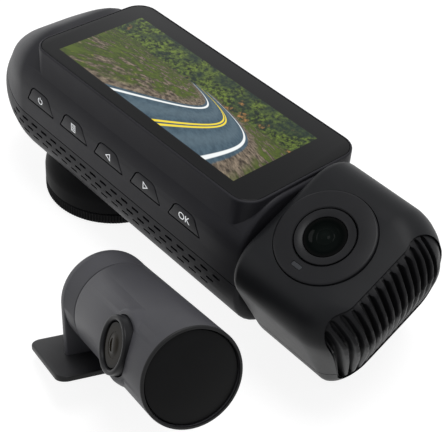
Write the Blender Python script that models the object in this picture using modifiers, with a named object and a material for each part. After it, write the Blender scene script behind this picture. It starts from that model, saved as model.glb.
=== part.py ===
"""Dash camera set.

The windscreen unit has a screen with five side buttons, a front lens barrel and a cabin camera head
that turns on the unit's long axis. A small rear camera turns on its own foot.

Everything is laid out in the unit's frame: the origin is on the long axis, X runs along it towards
the cabin head, -Y is the button side and Z points out of the screen. At the end the whole set is
tilted to stand on its lens barrel and moved so that the origin is under the middle of the set.
"""

import math

import bmesh
import bpy
from mathutils import Matrix, Vector

MM = 0.001

# Clearances
GAP = 0.3 * MM            # between neighbouring pieces
SEAT = 0.1 * MM           # under a stuck-down piece
RUN = 0.1 * MM            # radial, between a shaft and its bore
OVER = 1.0 * MM           # how far a cutter runs past what it cuts
CHAMFER = 0.6 * MM        # least edge round of a shrunken form

# Windscreen unit, case
WALL = 2.0 * MM
BODY_HALF = 22.0 * MM     # half width of the rounded square section
BODY_TOP = 21.0 * MM      # height of the section above the long axis
BODY_RADIUS = 14.0 * MM   # corners on the screen side
BODY_RADIUS_BACK = 15.5 * MM
BODY_LEFT = -75.5 * MM
BODY_RIGHT = 48.0 * MM
LEFT_LENGTH = 27.6 * MM   # length over which the left end closes in
LEFT_PINCH = 18.0 * MM    # how far it closes in
LEFT_LEAN = 0.63          # shift along X per unit of height
LEFT_POWER = 1.51
RIM_RADIUS = 1.2 * MM     # edge round at the cabin head's side
PART_LINE = -3.0 * MM     # height of the seam between the two shells
TONGUE_STEP = 1.4 * MM    # how far the rear shell's tongue stands above the seam
END_WALL = 2.4 * MM

# Raised screen housing
HOUSING_LEFT = -44.5 * MM
HOUSING_RIGHT = BODY_RIGHT - 1.1 * MM
HOUSING_HALF = 20.4 * MM
HOUSING_RADIUS = 6.0 * MM
HOUSING_TOP = 22.0 * MM
HOUSING_FOOT = 8.0 * MM
GLASS_RIM = 0.7 * MM      # width of the housing left round the glass
GLASS_THICK = 1.0 * MM
LEDGE = 2.6 * MM          # thickness of the housing's top with the glass out
PANEL_SIZE = (80.0 * MM, 34.0 * MM, 2.2 * MM)
PANEL_MID_Y = -1.0 * MM
CARRIER_THICK = 0.8 * MM
CARRIER_TAB = 1.2 * MM
BOARD_THICK = 1.2 * MM
MAIN_CHIPS = (            # low corner, high corner and height of each
    (-14.0 * MM, -9.0 * MM, 0, 5.0 * MM, 1.4 * MM),
    (5.0 * MM, -6.0 * MM, 15.0 * MM, 6.0 * MM, 1.0 * MM),
    (21.0 * MM, 1.0 * MM, 28.0 * MM, 8.0 * MM, 2.0 * MM),
    (-31.0 * MM, -5.0 * MM, -22.0 * MM, 4.0 * MM, 1.0 * MM),
)
SPEAKER_X = 24.0 * MM
SPEAKER_RADII = (5.0 * MM, 7.6 * MM)
SPEAKER_HEIGHTS = (4.6 * MM, 2.6 * MM)
CAPACITOR_X = -5.0 * MM
CAPACITOR_RADIUS = 4.0 * MM
CAPACITOR_LENGTH = 16.0 * MM

# Buttons, from the housing's left to right
BUTTON_NAMES = ("button_power", "button_menu", "button_back", "button_forward", "button_ok")
BUTTON_FIRST_X = -38.5 * MM
BUTTON_PITCH = 16.23 * MM
BUTTON_LOW = 3.3 * MM
BUTTON_HIGH = 8.5 * MM
BUTTON_WIDE = 12.4 * MM
BUTTON_NARROW = 9.4 * MM
BUTTON_TOP_RADIUS = 2.6 * MM
BUTTON_FLANGE = 0.6 * MM
BUTTON_FLANGE_THICK = 0.8 * MM
BUTTON_TRAVEL = 0.4 * MM
BUTTON_STEM = 1.5 * MM
SWITCH_HALF = 2.2 * MM
SWITCH_THICK = 1.3 * MM
BUTTON_BOARD_REACH = 8.0 * MM             # past the first and last button
BUTTON_BOARD_HEIGHTS = (0.5 * MM, 12.0 * MM)

# Air slots in the button side
SLOT_PITCH = 4.85 * MM
SLOT_SIZE = (3.0 * MM, 0.8 * MM)
SLOT_ROWS = (-5.2 * MM, -7.5 * MM, -9.8 * MM)
SLOT_COUNT = 20
SLOT_FIRST_X = -52.0 * MM

# Case screws and their posts
SCREW_INSET = 4.8 * MM    # from the cabin head's side
SCREW_SPREAD = 14.6 * MM  # to either side of the long axis
SCREW_PLACES = ((-58.5 * MM, 0.0), (BODY_RIGHT - SCREW_INSET, SCREW_SPREAD),
                (BODY_RIGHT - SCREW_INSET, -SCREW_SPREAD))
POST_RADIUS = 2.8 * MM
SCREW_RADIUS = 1.0 * MM
SCREW_HEAD = (2.2 * MM, 1.6 * MM)
SCREW_POINT = (0.3 * MM, 0.6 * MM)
SCREW_REACH = 7.0 * MM
SCREW_SEAT = -13.0 * MM

# Front lens barrel
BARREL_X = -32.6 * MM
BARREL_RADIUS = 21.0 * MM
BARREL_RIM = -BODY_HALF - 8.8 * MM
BARREL_SHOULDER = -BODY_HALF - 0.8 * MM
BARREL_TOP = -BODY_HALF + 7.0 * MM
BARREL_WALL = 2.4 * MM
BARREL_WEB = 2.0 * MM
BARREL_SHOULDERS = ((5.2 * MM, 7.8 * MM), (3.2 * MM, 5.9 * MM), (1.4 * MM, 3.8 * MM), (0.4 * MM, 1.9 * MM),
                    (0, 0))  # in from the barrel's side, up from its shoulder
RING_DEPTH = 3.6 * MM
RING_TEETH = 72
RING_TOOTH_DEPTH = 0.35 * MM
DISH_OUTER = 18.6 * MM
DISH_INNER = 10.3 * MM
DISH_DEPTH = 2.4 * MM
FRONT_CELL_RADIUS = 8.4 * MM
FRONT_CELL_BORE = 5.4 * MM
FRONT_CELL_HOOD = 10.0 * MM
FRONT_CELL_RIM = (1.6 * MM, 2.0 * MM)     # up from the barrel's rim, outside and inside
FRONT_GLASS_RADIUS = 7.0 * MM
FRONT_GLASS_SEAT = 4.4 * MM
FRONT_GLASS_FACE = 1.2 * MM
FRONT_GLASS_CURVE = ((7.0 * MM, 1.6 * MM), (5.4 * MM, 0.8 * MM), (3.0 * MM, 0.2 * MM), (0, 0))
FRONT_BOARD_HALF = 12.0 * MM
FRONT_SENSOR = (5.0 * MM, 4.0 * MM, 1.0 * MM)

# Cabin head: its own frame is turned about the long axis
HEAD_TILT = 27.5
HEAD_FLAT = BODY_RIGHT + 2 * GAP
HEAD_END = HEAD_FLAT + 33.3 * MM
HEAD_HALF = 21.9 * MM
HEAD_RADIUS_LENS = 10.0 * MM
HEAD_RADIUS_BACK = 13.0 * MM
HEAD_LENGTH = 8.8 * MM
HEAD_PINCH = 6.8 * MM
HEAD_POWER = 1.47
HEAD_LEAN = 0.33
HEAD_EDGE = 3.0 * MM      # edge round at the windscreen unit's side
HEAD_PART_LINE = -6.0 * MM
HEAD_SCREW_X = HEAD_FLAT + 6.4 * MM
HEAD_SCREWS = ((HEAD_SCREW_X, 16.0 * MM), (HEAD_SCREW_X, -16.0 * MM))
CABIN_X = HEAD_FLAT + 15.4 * MM
CABIN_RISE = 0.6 * MM
CABIN_RING_RADIUS = 12.9 * MM
CABIN_RING_CHAMFER = 0.5 * MM
CABIN_RING_THICK = 2.4 * MM
CABIN_BEZEL_RADIUS = 7.7 * MM
CABIN_GLASS_RADIUS = 5.45 * MM
CABIN_GLASS_DEPTHS = (0.4 * MM, 1.4 * MM)
CABIN_CELL_RADII = (2.3 * MM, 5.0 * MM, 6.6 * MM)
CABIN_CELL_DISH = 1.5 * MM
CABIN_CELL_LENGTH = 9.0 * MM
HEAD_BOARD = (-11.0 * MM, 8.0 * MM, 12.0 * MM)   # from, to and half width
INDICATOR_SIZE = (3.0 * MM, 1.2 * MM, 0.9 * MM)
INDICATOR_Y = -9.9 * MM
GRILLE_RECESS = 0.35 * MM
GRILLE_THICK = 2.0 * MM
GRILLE_TURN = 35.0        # from the head's end towards its lens side
GRILLE_PIVOT = HEAD_END - 1.9 * MM
GRILLE_SIDES = (-19.9 * MM, 17.5 * MM)
GRILLE_ENDS = (-5.5 * MM, 17.4 * MM)
GRILLE_RADIUS = 5.0 * MM
GRILLE_DEEP = -8.0 * MM   # how far in the cutter starts
GRILLE_MARGIN = 1.3 * MM
GRILLE_GROOVES = 14
GRILLE_PITCH = 2.6 * MM
GROOVE_WIDTH = 1.25 * MM
GROOVE_DEPTH = 1.3 * MM

# Swivel between the unit and its head
HUB_RADIUS = 9.0 * MM
HUB_BORE = 5.5 * MM
HUB_FLANGE = 11.5 * MM
HUB_FLANGE_THICK = 1.5 * MM
WASHER_RADIUS = 11.3 * MM
WASHER_THICK = 0.8 * MM
CLIP_DEPTH = 0.7 * MM

# Mount shoe and sockets on the side away from the buttons
SHOE_SIZE = (38.0 * MM, 20.0 * MM, 2.0 * MM)
SHOE_RAIL = (2.4 * MM, 2.2 * MM)
SHOE_LIP = 1.4 * MM
SHOE_LIP_THICK = 0.9 * MM
CONTACT_SIZE = (2.2 * MM, 5.0 * MM, 0.5 * MM)
CONTACT_PITCH = 4.4 * MM
CONTACTS = 4
SOCKET_Z = 3.0 * MM
USB_X = -38.0 * MM
USB_SIZE = (9.0 * MM, 3.2 * MM)
USB_DEPTH = 7.0 * MM
JACK_X = -27.0 * MM
JACK_RADIUS = 2.6 * MM
JACK_BORE = 1.3 * MM
CARD_X = 31.0 * MM
CARD_SIZE = (13.0 * MM, 1.9 * MM)
CARD_DEPTH = 12.0 * MM
SOCKET_SKIN = 0.4 * MM
SOCKET_BACK = 1.0 * MM
USB_TONGUE = (3.2 * MM, 0.35 * MM, 1.5 * MM)
CARD_SLIT = 0.45 * MM

# Rear camera: its own frame has X along the tube towards the end cap and Z off the foot
REAR_PLACE = (73.8 * MM, -59.4 * MM, 12.2 * MM)
REAR_TURN = -15.2
REAR_PITCH = -22.25
REAR_ROLL = -5.6
TUBE_RADIUS = 12.15 * MM
TUBE_LENGTH = 43.6 * MM
TUBE_WALL = 1.8 * MM
TUBE_RIM = 0.75 * MM
CAP_RECESS = 0.5 * MM
CAP_THICK = 1.6 * MM
COLLAR_LENGTH = 10.2 * MM
FOOT_WALL = 2.6 * MM
ARCH_RADIUS = 12.55 * MM
FOOT_DROP = 13.4 * MM
FOOT_HALF = 18.2 * MM
FOOT_LONG = 25.0 * MM
FOOT_THICK = 1.5 * MM
FOOT_RADIUS = 3.0 * MM
PAD_THICK = 0.6 * MM
PAD_INSET = 1.6 * MM
PIVOT_RADIUS = 3.4 * MM
PIVOT_REACH = 7.0 * MM
CABLE_SOCKET = (2.9 * MM, 4.0 * MM)       # radius and length
CABLE_BORE = (1.3 * MM, 2.5 * MM)         # radius and depth
CABLE_RISE = 4.0 * MM
LENS_AIM = 72.0           # turn of the rear lens about the tube, from straight up
LENS_BACK = -16.4 * MM
LENS_FACE = 12.5 * MM
LENS_RING_RADIUS = 6.8 * MM
LENS_RING_PROUD = 0.7 * MM
LENS_GLASS_RADIUS = 5.2 * MM
LENS_RING_FOOT = 8.6 * MM
LENS_BOSS = (9.2 * MM, 8.0 * MM, 10.9 * MM)
LENS_BOSS_SLOPE = 2.6 * MM
LENS_BOSS_ROOT = 3.0 * MM
LENS_CELL_RADII = (2.4 * MM, 4.2 * MM, 5.8 * MM)
LENS_CELL_FOOT = 2.4 * MM
REAR_BOARD = (-16.0 * MM, 12.0 * MM, 8.0 * MM)   # from, to and half width
TUBE_SOFT = 0.4 * MM

# Stance of the whole set
STANCE = 3.9
CORNER_STEPS = 5
END_STEPS = 8
RIM_STEPS = 3
ARCH_STEPS = 16
ROUND_STEPS = 32

HEAD = Matrix.Rotation(math.radians(HEAD_TILT), 4, "X")
GRILLE = HEAD @ Matrix.Translation((GRILLE_PIVOT, 0, 0)) @ Matrix.Rotation(math.radians(-GRILLE_TURN), 4, "Y")
ALONG_X = Matrix.Rotation(math.radians(90), 4, "Y")
OUT_OF_SIDE = Matrix.Rotation(math.radians(-90), 4, "X")
REAR = (
    Matrix.Translation(Vector(REAR_PLACE))
    @ Matrix.Rotation(math.radians(REAR_TURN), 4, "Z")
    @ Matrix.Rotation(math.radians(REAR_PITCH), 4, "Y")
    @ Matrix.Rotation(math.radians(REAR_ROLL), 4, "X")
)
REAR_LENS = REAR @ Matrix.Translation((LENS_BACK, 0, 0)) @ Matrix.Rotation(math.radians(LENS_AIM), 4, "X")


def start():
    """Empty the file and make the two collections."""
    for old in list(bpy.data.objects):
        bpy.data.objects.remove(old, do_unlink=True)
    groups = []
    for name in ("dash_camera", "cutters"):
        group = bpy.data.collections.new(name)
        bpy.context.scene.collection.children.link(group)
        groups.append(group)
    return groups


PARTS, CUTTERS = start()


# Shapes

def place_mesh(name, bm, place=Matrix()):
    """Turn a bmesh into a cutter object. part() moves it to the parts."""
    bmesh.ops.recalc_face_normals(bm, faces=bm.faces)
    mesh = bpy.data.meshes.new(name)
    bm.to_mesh(mesh)
    bm.free()
    obj = bpy.data.objects.new(name, mesh)
    CUTTERS.objects.link(obj)
    obj.matrix_world = place
    obj.hide_render = True
    obj.display_type = "WIRE"
    return obj


def part(obj, colour, roughness=0.5, metallic=0.0):
    """Make a shape one of the set's pieces, with a finish of its own."""
    CUTTERS.objects.unlink(obj)
    PARTS.objects.link(obj)
    obj.hide_render = False
    obj.display_type = "TEXTURED"
    surface = bpy.data.materials.new(obj.name + "_finish")
    surface.use_nodes = True
    shader = surface.node_tree.nodes["Principled BSDF"]
    shader.inputs["Base Color"].default_value = (*colour, 1.0)
    shader.inputs["Roughness"].default_value = roughness
    shader.inputs["Metallic"].default_value = metallic
    obj.data.materials.append(surface)
    return obj


def add_block(bm, low, high):
    """Add an upright block between two corners."""
    low, high = Vector(low), Vector(high)
    size = high - low
    where = Matrix.Translation((low + high) / 2) @ Matrix.Diagonal((*size, 1.0))
    bmesh.ops.create_cube(bm, size=1.0, matrix=where)


def blocks(name, corners, place=Matrix()):
    """One object from a list of (low, high) corner pairs."""
    bm = bmesh.new()
    for low, high in corners:
        add_block(bm, low, high)
    return place_mesh(name, bm, place)


def rods(name, places, radius, low, high, place=Matrix(), steps=20):
    """Upright round rods at a list of (x, y) places."""
    bm = bmesh.new()
    for x, y in places:
        where = Matrix.Translation((x, y, (low + high) / 2))
        bmesh.ops.create_cone(bm, cap_ends=True, segments=steps, radius1=radius, radius2=radius,
                              depth=high - low, matrix=where)
    return place_mesh(name, bm, place)


def add_prism(bm, outline, low, high, axis):
    """Add a flat outline drawn out along an axis."""
    corners = {
        "X": lambda a, b: (low, a, b),
        "Y": lambda a, b: (a, low, b),
        "Z": lambda a, b: (a, b, low),
    }[axis]
    face = bm.faces.new([bm.verts.new(corners(a, b)) for a, b in outline])
    drawn = bmesh.ops.extrude_face_region(bm, geom=[face])["geom"]
    ends = [item for item in drawn if isinstance(item, bmesh.types.BMVert)]
    shift = Vector([high - low if name == axis else 0.0 for name in "XYZ"])
    bmesh.ops.translate(bm, verts=ends, vec=shift)


def prism(name, outline, low, high, axis, place=Matrix()):
    bm = bmesh.new()
    add_prism(bm, outline, low, high, axis)
    return place_mesh(name, bm, place)


def loft(name, rings, place=Matrix()):
    """Skin a list of rings that have the same number of points."""
    bm = bmesh.new()
    loops = [[bm.verts.new(point) for point in ring] for ring in rings]
    count = len(loops[0])
    for first, second in zip(loops, loops[1:]):
        for i in range(count):
            j = (i + 1) % count
            bm.faces.new((first[i], first[j], second[j], second[i]))
    bmesh.ops.triangulate(bm, faces=bm.faces)
    bm.faces.new(loops[0])
    bm.faces.new(loops[-1])
    return place_mesh(name, bm, place)


def turned(name, profile, place=Matrix(), steps=ROUND_STEPS, closed=True):
    """A turned piece. The profile runs down its outer side; a closed one leaves a bore."""
    mesh = bpy.data.meshes.new(name)
    count = len(profile)
    edges = [(i, i + 1) for i in range(count - 1)]
    if closed:
        edges.append((count - 1, 0))
    mesh.from_pydata([(r, 0.0, z) for r, z in profile], edges, [])
    obj = bpy.data.objects.new(name, mesh)
    CUTTERS.objects.link(obj)
    obj.matrix_world = place
    obj.hide_render = True
    obj.display_type = "WIRE"
    screw = obj.modifiers.new("turn", "SCREW")
    screw.axis = "Z"
    screw.steps = steps
    screw.render_steps = steps
    screw.use_merge_vertices = not closed
    screw.merge_threshold = 0.00001
    screw.use_smooth_shade = False
    return obj


def washer(name, inner, outer, low, high, place=Matrix(), steps=ROUND_STEPS):
    return turned(name, [(inner, high), (outer, high), (outer, low), (inner, low)], place, steps)


def disc(name, radius, low, high, place=Matrix(), steps=ROUND_STEPS):
    return turned(name, [(0, high), (radius, high), (radius, low), (0, low)], place, steps, closed=False)


def combine(obj, operation, tools):
    for tool in tools:
        step = obj.modifiers.new(tool.name, "BOOLEAN")
        step.operation = operation
        step.solver = "EXACT"
        step.object = tool
    return obj


def cut(obj, *tools):
    return combine(obj, "DIFFERENCE", tools)


def join(obj, *tools):
    return combine(obj, "UNION", tools)


def common(obj, *tools):
    return combine(obj, "INTERSECT", tools)


# Outlines

def rounded(low_a, high_a, low_b, high_b, radius, steps=CORNER_STEPS):
    """Rounded rectangle, anticlockwise."""
    centres = ((high_a - radius, high_b - radius, 0), (low_a + radius, high_b - radius, 90),
               (low_a + radius, low_b + radius, 180), (high_a - radius, low_b + radius, 270))
    points = []
    for a, b, begin in centres:
        for k in range(steps + 1):
            turn = math.radians(begin + 90 * k / steps)
            points.append((a + radius * math.cos(turn), b + radius * math.sin(turn)))
    return points


def section(half, top, bottom, radius_top, radius_bottom):
    """Rounded section in Y and Z with its own radius above and below."""
    upper = rounded(-half, half, -top, top, radius_top)
    lower = rounded(-half, half, -bottom, bottom, radius_bottom)
    middle = len(upper) // 2
    return upper[:middle] + lower[middle:]


def closing(share, power):
    """How far a rounded end has closed in, from 0 to 1, at a share of its length."""
    return 1 - (1 - share ** power) ** (1 / power)


def body_ring(pinch):
    """The windscreen unit's section, shrunk about the long axis."""
    size = BODY_HALF - pinch
    share = size / BODY_HALF
    return section(size, BODY_TOP * share, size, BODY_RADIUS * share, BODY_RADIUS_BACK * share)


def body_solid(name, inset, place=Matrix()):
    """The windscreen unit's outer form, shrunk by an inset."""
    rings = []
    for k in range(END_STEPS + 1):
        share = math.sin(math.pi / 2 * (END_STEPS - k) / END_STEPS)
        ring = body_ring(inset + LEFT_PINCH * closing(share, LEFT_POWER))
        x = BODY_LEFT + inset + LEFT_LENGTH * (1 - share)
        rings.append([(x + LEFT_LEAN * z * share, y, z) for y, z in ring])
    rim = max(RIM_RADIUS - inset, CHAMFER)
    for k in range(RIM_STEPS + 1):
        turn = math.pi / 2 * k / RIM_STEPS
        ring = body_ring(inset + rim * (1 - math.cos(turn)))
        x = BODY_RIGHT - inset - rim * (1 - math.sin(turn))
        rings.append([(x, y, z) for y, z in ring])
    return loft(name, rings, place)


def head_solid(name, inset):
    """The cabin head's outer form, shrunk by an inset."""
    rings = []

    def ring_at(x, pinch, lean):
        size = HEAD_HALF - pinch
        share = size / HEAD_HALF
        ring = section(size, size, size, HEAD_RADIUS_LENS * share, HEAD_RADIUS_BACK * share)
        rings.append([(x + lean * z, y, z) for y, z in ring])

    for k in range(RIM_STEPS + 1):
        turn = math.pi / 2 * k / RIM_STEPS
        x = HEAD_FLAT + inset + HEAD_EDGE * (1 - math.cos(turn))
        ring_at(x, inset + HEAD_EDGE * (1 - math.sin(turn)), 0)
    for k in range(END_STEPS + 1):
        share = math.sin(math.pi / 2 * k / END_STEPS)
        pinch = inset + HEAD_PINCH * closing(share, HEAD_POWER)
        ring_at(HEAD_END - inset - HEAD_LENGTH * (1 - share), pinch, HEAD_LEAN * share)
    return loft(name, rings, HEAD)


def housing_outline(inset):
    return rounded(HOUSING_LEFT + inset, HOUSING_RIGHT - inset, -HOUSING_HALF + inset, HOUSING_HALF - inset,
                   HOUSING_RADIUS - inset)


def button_outline(grow):
    """Upper corners well rounded, lower corners sharp; about the middle of the lower edge."""
    wide, narrow = BUTTON_WIDE / 2 + grow, BUTTON_NARROW / 2 + grow
    high = BUTTON_HIGH + grow
    radius = BUTTON_TOP_RADIUS + grow
    right = [(wide, BUTTON_LOW - grow)]
    for degrees in (15, 40, 65, 90):
        turn = math.radians(degrees)
        right.append((narrow - radius + radius * math.cos(turn), high - radius + radius * math.sin(turn)))
    return right + [(-x, z) for x, z in reversed(right)]


def button_centres():
    return [BUTTON_FIRST_X + BUTTON_PITCH * k for k in range(len(BUTTON_NAMES))]


def grille_outline(grow):
    (left, right), (low, high) = GRILLE_SIDES, GRILLE_ENDS
    return rounded(left - grow, right + grow, low - grow, high + grow, GRILLE_RADIUS + grow)


def corner_drop(away):
    """How far the panel's rounded corner cuts in, at a distance from its side."""
    inside = max(0.0, GRILLE_RADIUS - away)
    return GRILLE_RADIUS - math.sqrt(GRILLE_RADIUS ** 2 - inside ** 2)


# Windscreen unit

LONG = 400 * MM            # larger than the whole set
CAVITY = body_solid("case_cavity", WALL)
CAVITY_END = blocks("case_cavity_end", [((-LONG, -LONG, -LONG), (BODY_RIGHT - END_WALL, LONG, LONG))])
common(CAVITY, CAVITY_END)
HUB_BORE_CUT = disc("hub_bore", HUB_RADIUS + RUN, BODY_RIGHT - 3 * WALL, BODY_RIGHT + OVER, ALONG_X, 48)


def front_shell():
    """Screen side of the case with the raised housing."""
    shell = body_solid("front_shell", 0.0)
    housing = prism("housing", housing_outline(0), HOUSING_FOOT, HOUSING_TOP, "Z")
    housing_room = prism("housing_room", housing_outline(WALL), HOUSING_FOOT - OVER, HOUSING_TOP - LEDGE, "Z")
    glass_seat = prism("glass_seat", housing_outline(GLASS_RIM - GAP), HOUSING_TOP - GLASS_THICK - GAP,
                       HOUSING_TOP + OVER, "Z")
    long, wide, _ = PANEL_SIZE
    window = blocks("window", [((-long / 2 - GAP, PANEL_MID_Y - wide / 2 - GAP, HOUSING_TOP - LEDGE - OVER),
                                (long / 2 + GAP, PANEL_MID_Y + wide / 2 + GAP, HOUSING_TOP))])
    below = blocks("front_shell_below", [((-LONG, -LONG, -LONG), (LONG, LONG, PART_LINE + GAP / 2))])
    rebate = body_solid("front_shell_rebate", WALL / 2 - GAP)
    common(rebate, blocks("rebate_height", [((-LONG, -LONG, PART_LINE - OVER),
                                             (LONG, LONG, PART_LINE + TONGUE_STEP + GAP))]))
    inside = body_solid("rebate_inside", WALL + GAP)
    common(inside, blocks("rebate_inside_end", [((-LONG, -LONG, -LONG),
                                                 (BODY_RIGHT - END_WALL - GAP, LONG, LONG))]))
    cut(rebate, inside)
    posts = rods("front_posts", SCREW_PLACES, POST_RADIUS, PART_LINE + GAP / 2, HOUSING_TOP - LEDGE / 2)
    posts_housing = prism("posts_housing", housing_outline(WALL / 2), HOUSING_FOOT, HOUSING_TOP - LEDGE / 3,
                          "Z")
    common(posts, join(body_solid("posts_inside", WALL / 2), posts_housing))
    pilots = rods("front_pilots", SCREW_PLACES, SCREW_RADIUS + GAP, PART_LINE - OVER,
                  PART_LINE + SCREW_REACH + GAP)
    windows = button_cutter("button_windows", GAP, -BODY_HALF - OVER)
    pockets = button_cutter("button_pockets", BUTTON_FLANGE + 2 * GAP, -BODY_HALF + WALL)
    join(shell, housing)
    cut(shell, CAVITY, housing_room, glass_seat, window, below)
    join(shell, posts)
    return cut(shell, rebate, pilots, windows, pockets, HUB_BORE_CUT, side_sockets())


def button_cutter(name, grow, low):
    """One cutter with a button's outline, grown, at every button."""
    bm = bmesh.new()
    for x in button_centres():
        add_prism(bm, [(x + a, b) for a, b in button_outline(grow)], low, -BODY_HALF + 2 * WALL, "Y")
    return place_mesh(name, bm)


def side_sockets():
    """Openings for the sockets in the side away from the buttons."""
    bm = bmesh.new()
    side = BODY_HALF + OVER
    inside = BODY_HALF - 2 * WALL
    for x, (long, high) in ((USB_X, USB_SIZE), (CARD_X, CARD_SIZE)):
        add_prism(bm, rounded(x - long / 2 - GAP, x + long / 2 + GAP, SOCKET_Z - high / 2 - GAP,
                              SOCKET_Z + high / 2 + GAP, high / 2, 3), inside, side, "Y")
    jack = [(JACK_X + (JACK_RADIUS + GAP) * math.cos(math.tau * k / 20),
             SOCKET_Z + (JACK_RADIUS + GAP) * math.sin(math.tau * k / 20)) for k in range(20)]
    add_prism(bm, jack, inside, side, "Y")
    return place_mesh("side_sockets", bm)


def rear_shell():
    """Windscreen side of the case with the air slots, the lens opening and the screw bosses."""
    shell = body_solid("rear_shell", 0.0)
    above = blocks("rear_shell_above", [((-LONG, -LONG, PART_LINE - GAP / 2), (LONG, LONG, LONG))])
    tongue = body_solid("tongue", WALL / 2)
    common(tongue, blocks("tongue_height", [((-LONG, -LONG, PART_LINE - TONGUE_STEP),
                                             (LONG, LONG, PART_LINE + TONGUE_STEP))]))
    bosses = rods("rear_bosses", SCREW_PLACES, POST_RADIUS, -BODY_HALF, PART_LINE - GAP / 2)
    common(bosses, body_solid("bosses_inside", WALL / 2))
    shafts = rods("rear_shafts", SCREW_PLACES, SCREW_RADIUS + GAP, -BODY_HALF - OVER, PART_LINE + OVER)
    heads = rods("rear_heads", SCREW_PLACES, SCREW_HEAD[0] + GAP, -BODY_HALF - OVER, SCREW_SEAT)
    lens_hole = disc("lens_hole", FRONT_CELL_RADIUS + GAP, -BODY_HALF - OVER, BARREL_TOP,
                     Matrix.Translation((BARREL_X, 0, 0)))
    cut(shell, above)
    join(shell, tongue)
    cut(shell, CAVITY)
    join(shell, bosses)
    return cut(shell, shafts, heads, lens_hole, HUB_BORE_CUT, air_slots())


def air_slots():
    """Three staggered rows of slots through the button side."""
    bm = bmesh.new()
    long, high = SLOT_SIZE
    for row, z in enumerate(SLOT_ROWS):
        for k in range(SLOT_COUNT):
            x = SLOT_FIRST_X + SLOT_PITCH * k - SLOT_PITCH / 2 * row
            outline = [(x + long / 2, z), (x + long / 2 - high / 2, z + high / 2),
                       (x - long / 2 + high / 2, z + high / 2), (x - long / 2, z),
                       (x - long / 2 + high / 2, z - high / 2), (x + long / 2 - high / 2, z - high / 2)]
            add_prism(bm, outline, -BODY_HALF - OVER, -BODY_HALF + 1.7 * WALL, "Y")
    return place_mesh("air_slots", bm)


def screws(name, places, line, frame):
    """Pan head screws, each its own piece, driven from below into the posts above a seam."""
    radius, thick = SCREW_HEAD
    seat = SCREW_SEAT - GAP
    top = line + SCREW_REACH
    narrower, point = SCREW_POINT
    profile = [(0, top), (SCREW_RADIUS - narrower, top), (SCREW_RADIUS, top - point), (SCREW_RADIUS, seat),
               (radius, seat), (radius, seat - thick), (0, seat - thick)]
    for number, (x, y) in enumerate(places, 1):
        screw = turned(f"{name}_{number}", profile, frame @ Matrix.Translation((x, y, 0)), 14, closed=False)
        part(screw, (0.4, 0.4, 0.42), 0.35, 1.0)


def screen():
    """Cover glass, display panel, carrier and main board, stacked down from the glass."""
    glass = prism("screen_glass", housing_outline(GLASS_RIM), HOUSING_TOP - GLASS_THICK, HOUSING_TOP, "Z")
    part(glass, (0.05, 0.055, 0.06), 0.2)
    long, wide, thick = PANEL_SIZE
    top = HOUSING_TOP - GLASS_THICK - GAP
    panel = blocks("screen_panel", [((-long / 2, PANEL_MID_Y - wide / 2, top - thick),
                                     (long / 2, PANEL_MID_Y + wide / 2, top))])
    part(panel, (0.25, 0.35, 0.42), 0.4)
    top -= thick + GAP
    side = HOUSING_HALF - WALL - GAP
    left, right = HOUSING_LEFT + WALL + GAP, SCREW_PLACES[1][0] - POST_RADIUS - GAP
    outline = rounded(left, right, -side, side, HOUSING_RADIUS - WALL, 3)
    carrier = prism("screen_carrier", outline, top - CARRIER_THICK, top, "Z")
    foot, crest = top - CARRIER_THICK / 2, top + CARRIER_TAB
    tabs = blocks("carrier_tabs", [((left, -side / 2, foot), (left + CARRIER_TAB, side / 2, crest)),
                                   ((right - CARRIER_TAB, -side / 2, foot), (right, side / 2, crest))])
    cut(tabs, blocks("tab_clearance", [((-long / 2 - GAP, -side - OVER, top - OVER),
                                        (long / 2 + GAP, side + OVER, crest + OVER))]))
    part(join(carrier, tabs), (0.55, 0.56, 0.58), 0.35, 1.0)
    top -= CARRIER_THICK + GAP
    board = prism("main_board", outline, top - BOARD_THICK, top, "Z")
    under = top - BOARD_THICK
    chips = blocks("main_board_chips", [((x, y, under - high), (to_x, to_y, under + BOARD_THICK / 2))
                                        for x, y, to_x, to_y, high in MAIN_CHIPS])
    part(join(board, chips), (0.05, 0.22, 0.12), 0.5)


def buttons():
    """Five sprung caps held behind the case wall, and the switch board they press."""
    back = -BODY_HALF + WALL + GAP
    for name, x in zip(BUTTON_NAMES, button_centres()):
        place = Matrix.Translation((x, 0, 0))
        cap = prism(name, button_outline(0), -BODY_HALF, back + BUTTON_FLANGE_THICK / 2, "Y", place)
        flange = prism(name + "_flange", button_outline(BUTTON_FLANGE), back, back + BUTTON_FLANGE_THICK,
                       "Y", place)
        mid = (BUTTON_LOW + BUTTON_HIGH) / 2
        stem_end = back + BUTTON_FLANGE_THICK + GAP
        stem = blocks(name + "_stem", [((-BUTTON_STEM, back, mid - BUTTON_STEM),
                                        (BUTTON_STEM, stem_end, mid + BUTTON_STEM))], place)
        part(join(cap, flange, stem), (0.04, 0.041, 0.044), 0.45)
    near = back + BUTTON_FLANGE_THICK + GAP + BUTTON_TRAVEL + GAP
    far = near + SWITCH_THICK
    into = far + BOARD_THICK / 4
    switches = [((x - SWITCH_HALF, near, mid - SWITCH_HALF), (x + SWITCH_HALF, into, mid + SWITCH_HALF))
                for x in button_centres()]
    first, last = button_centres()[0] - BUTTON_BOARD_REACH, button_centres()[-1] + BUTTON_BOARD_REACH
    low, high = BUTTON_BOARD_HEIGHTS
    board = blocks("button_board", [((first, far, low), (last, far + BOARD_THICK, high))])
    part(join(board, blocks("tact_switches", switches)), (0.05, 0.22, 0.12), 0.5)


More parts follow.
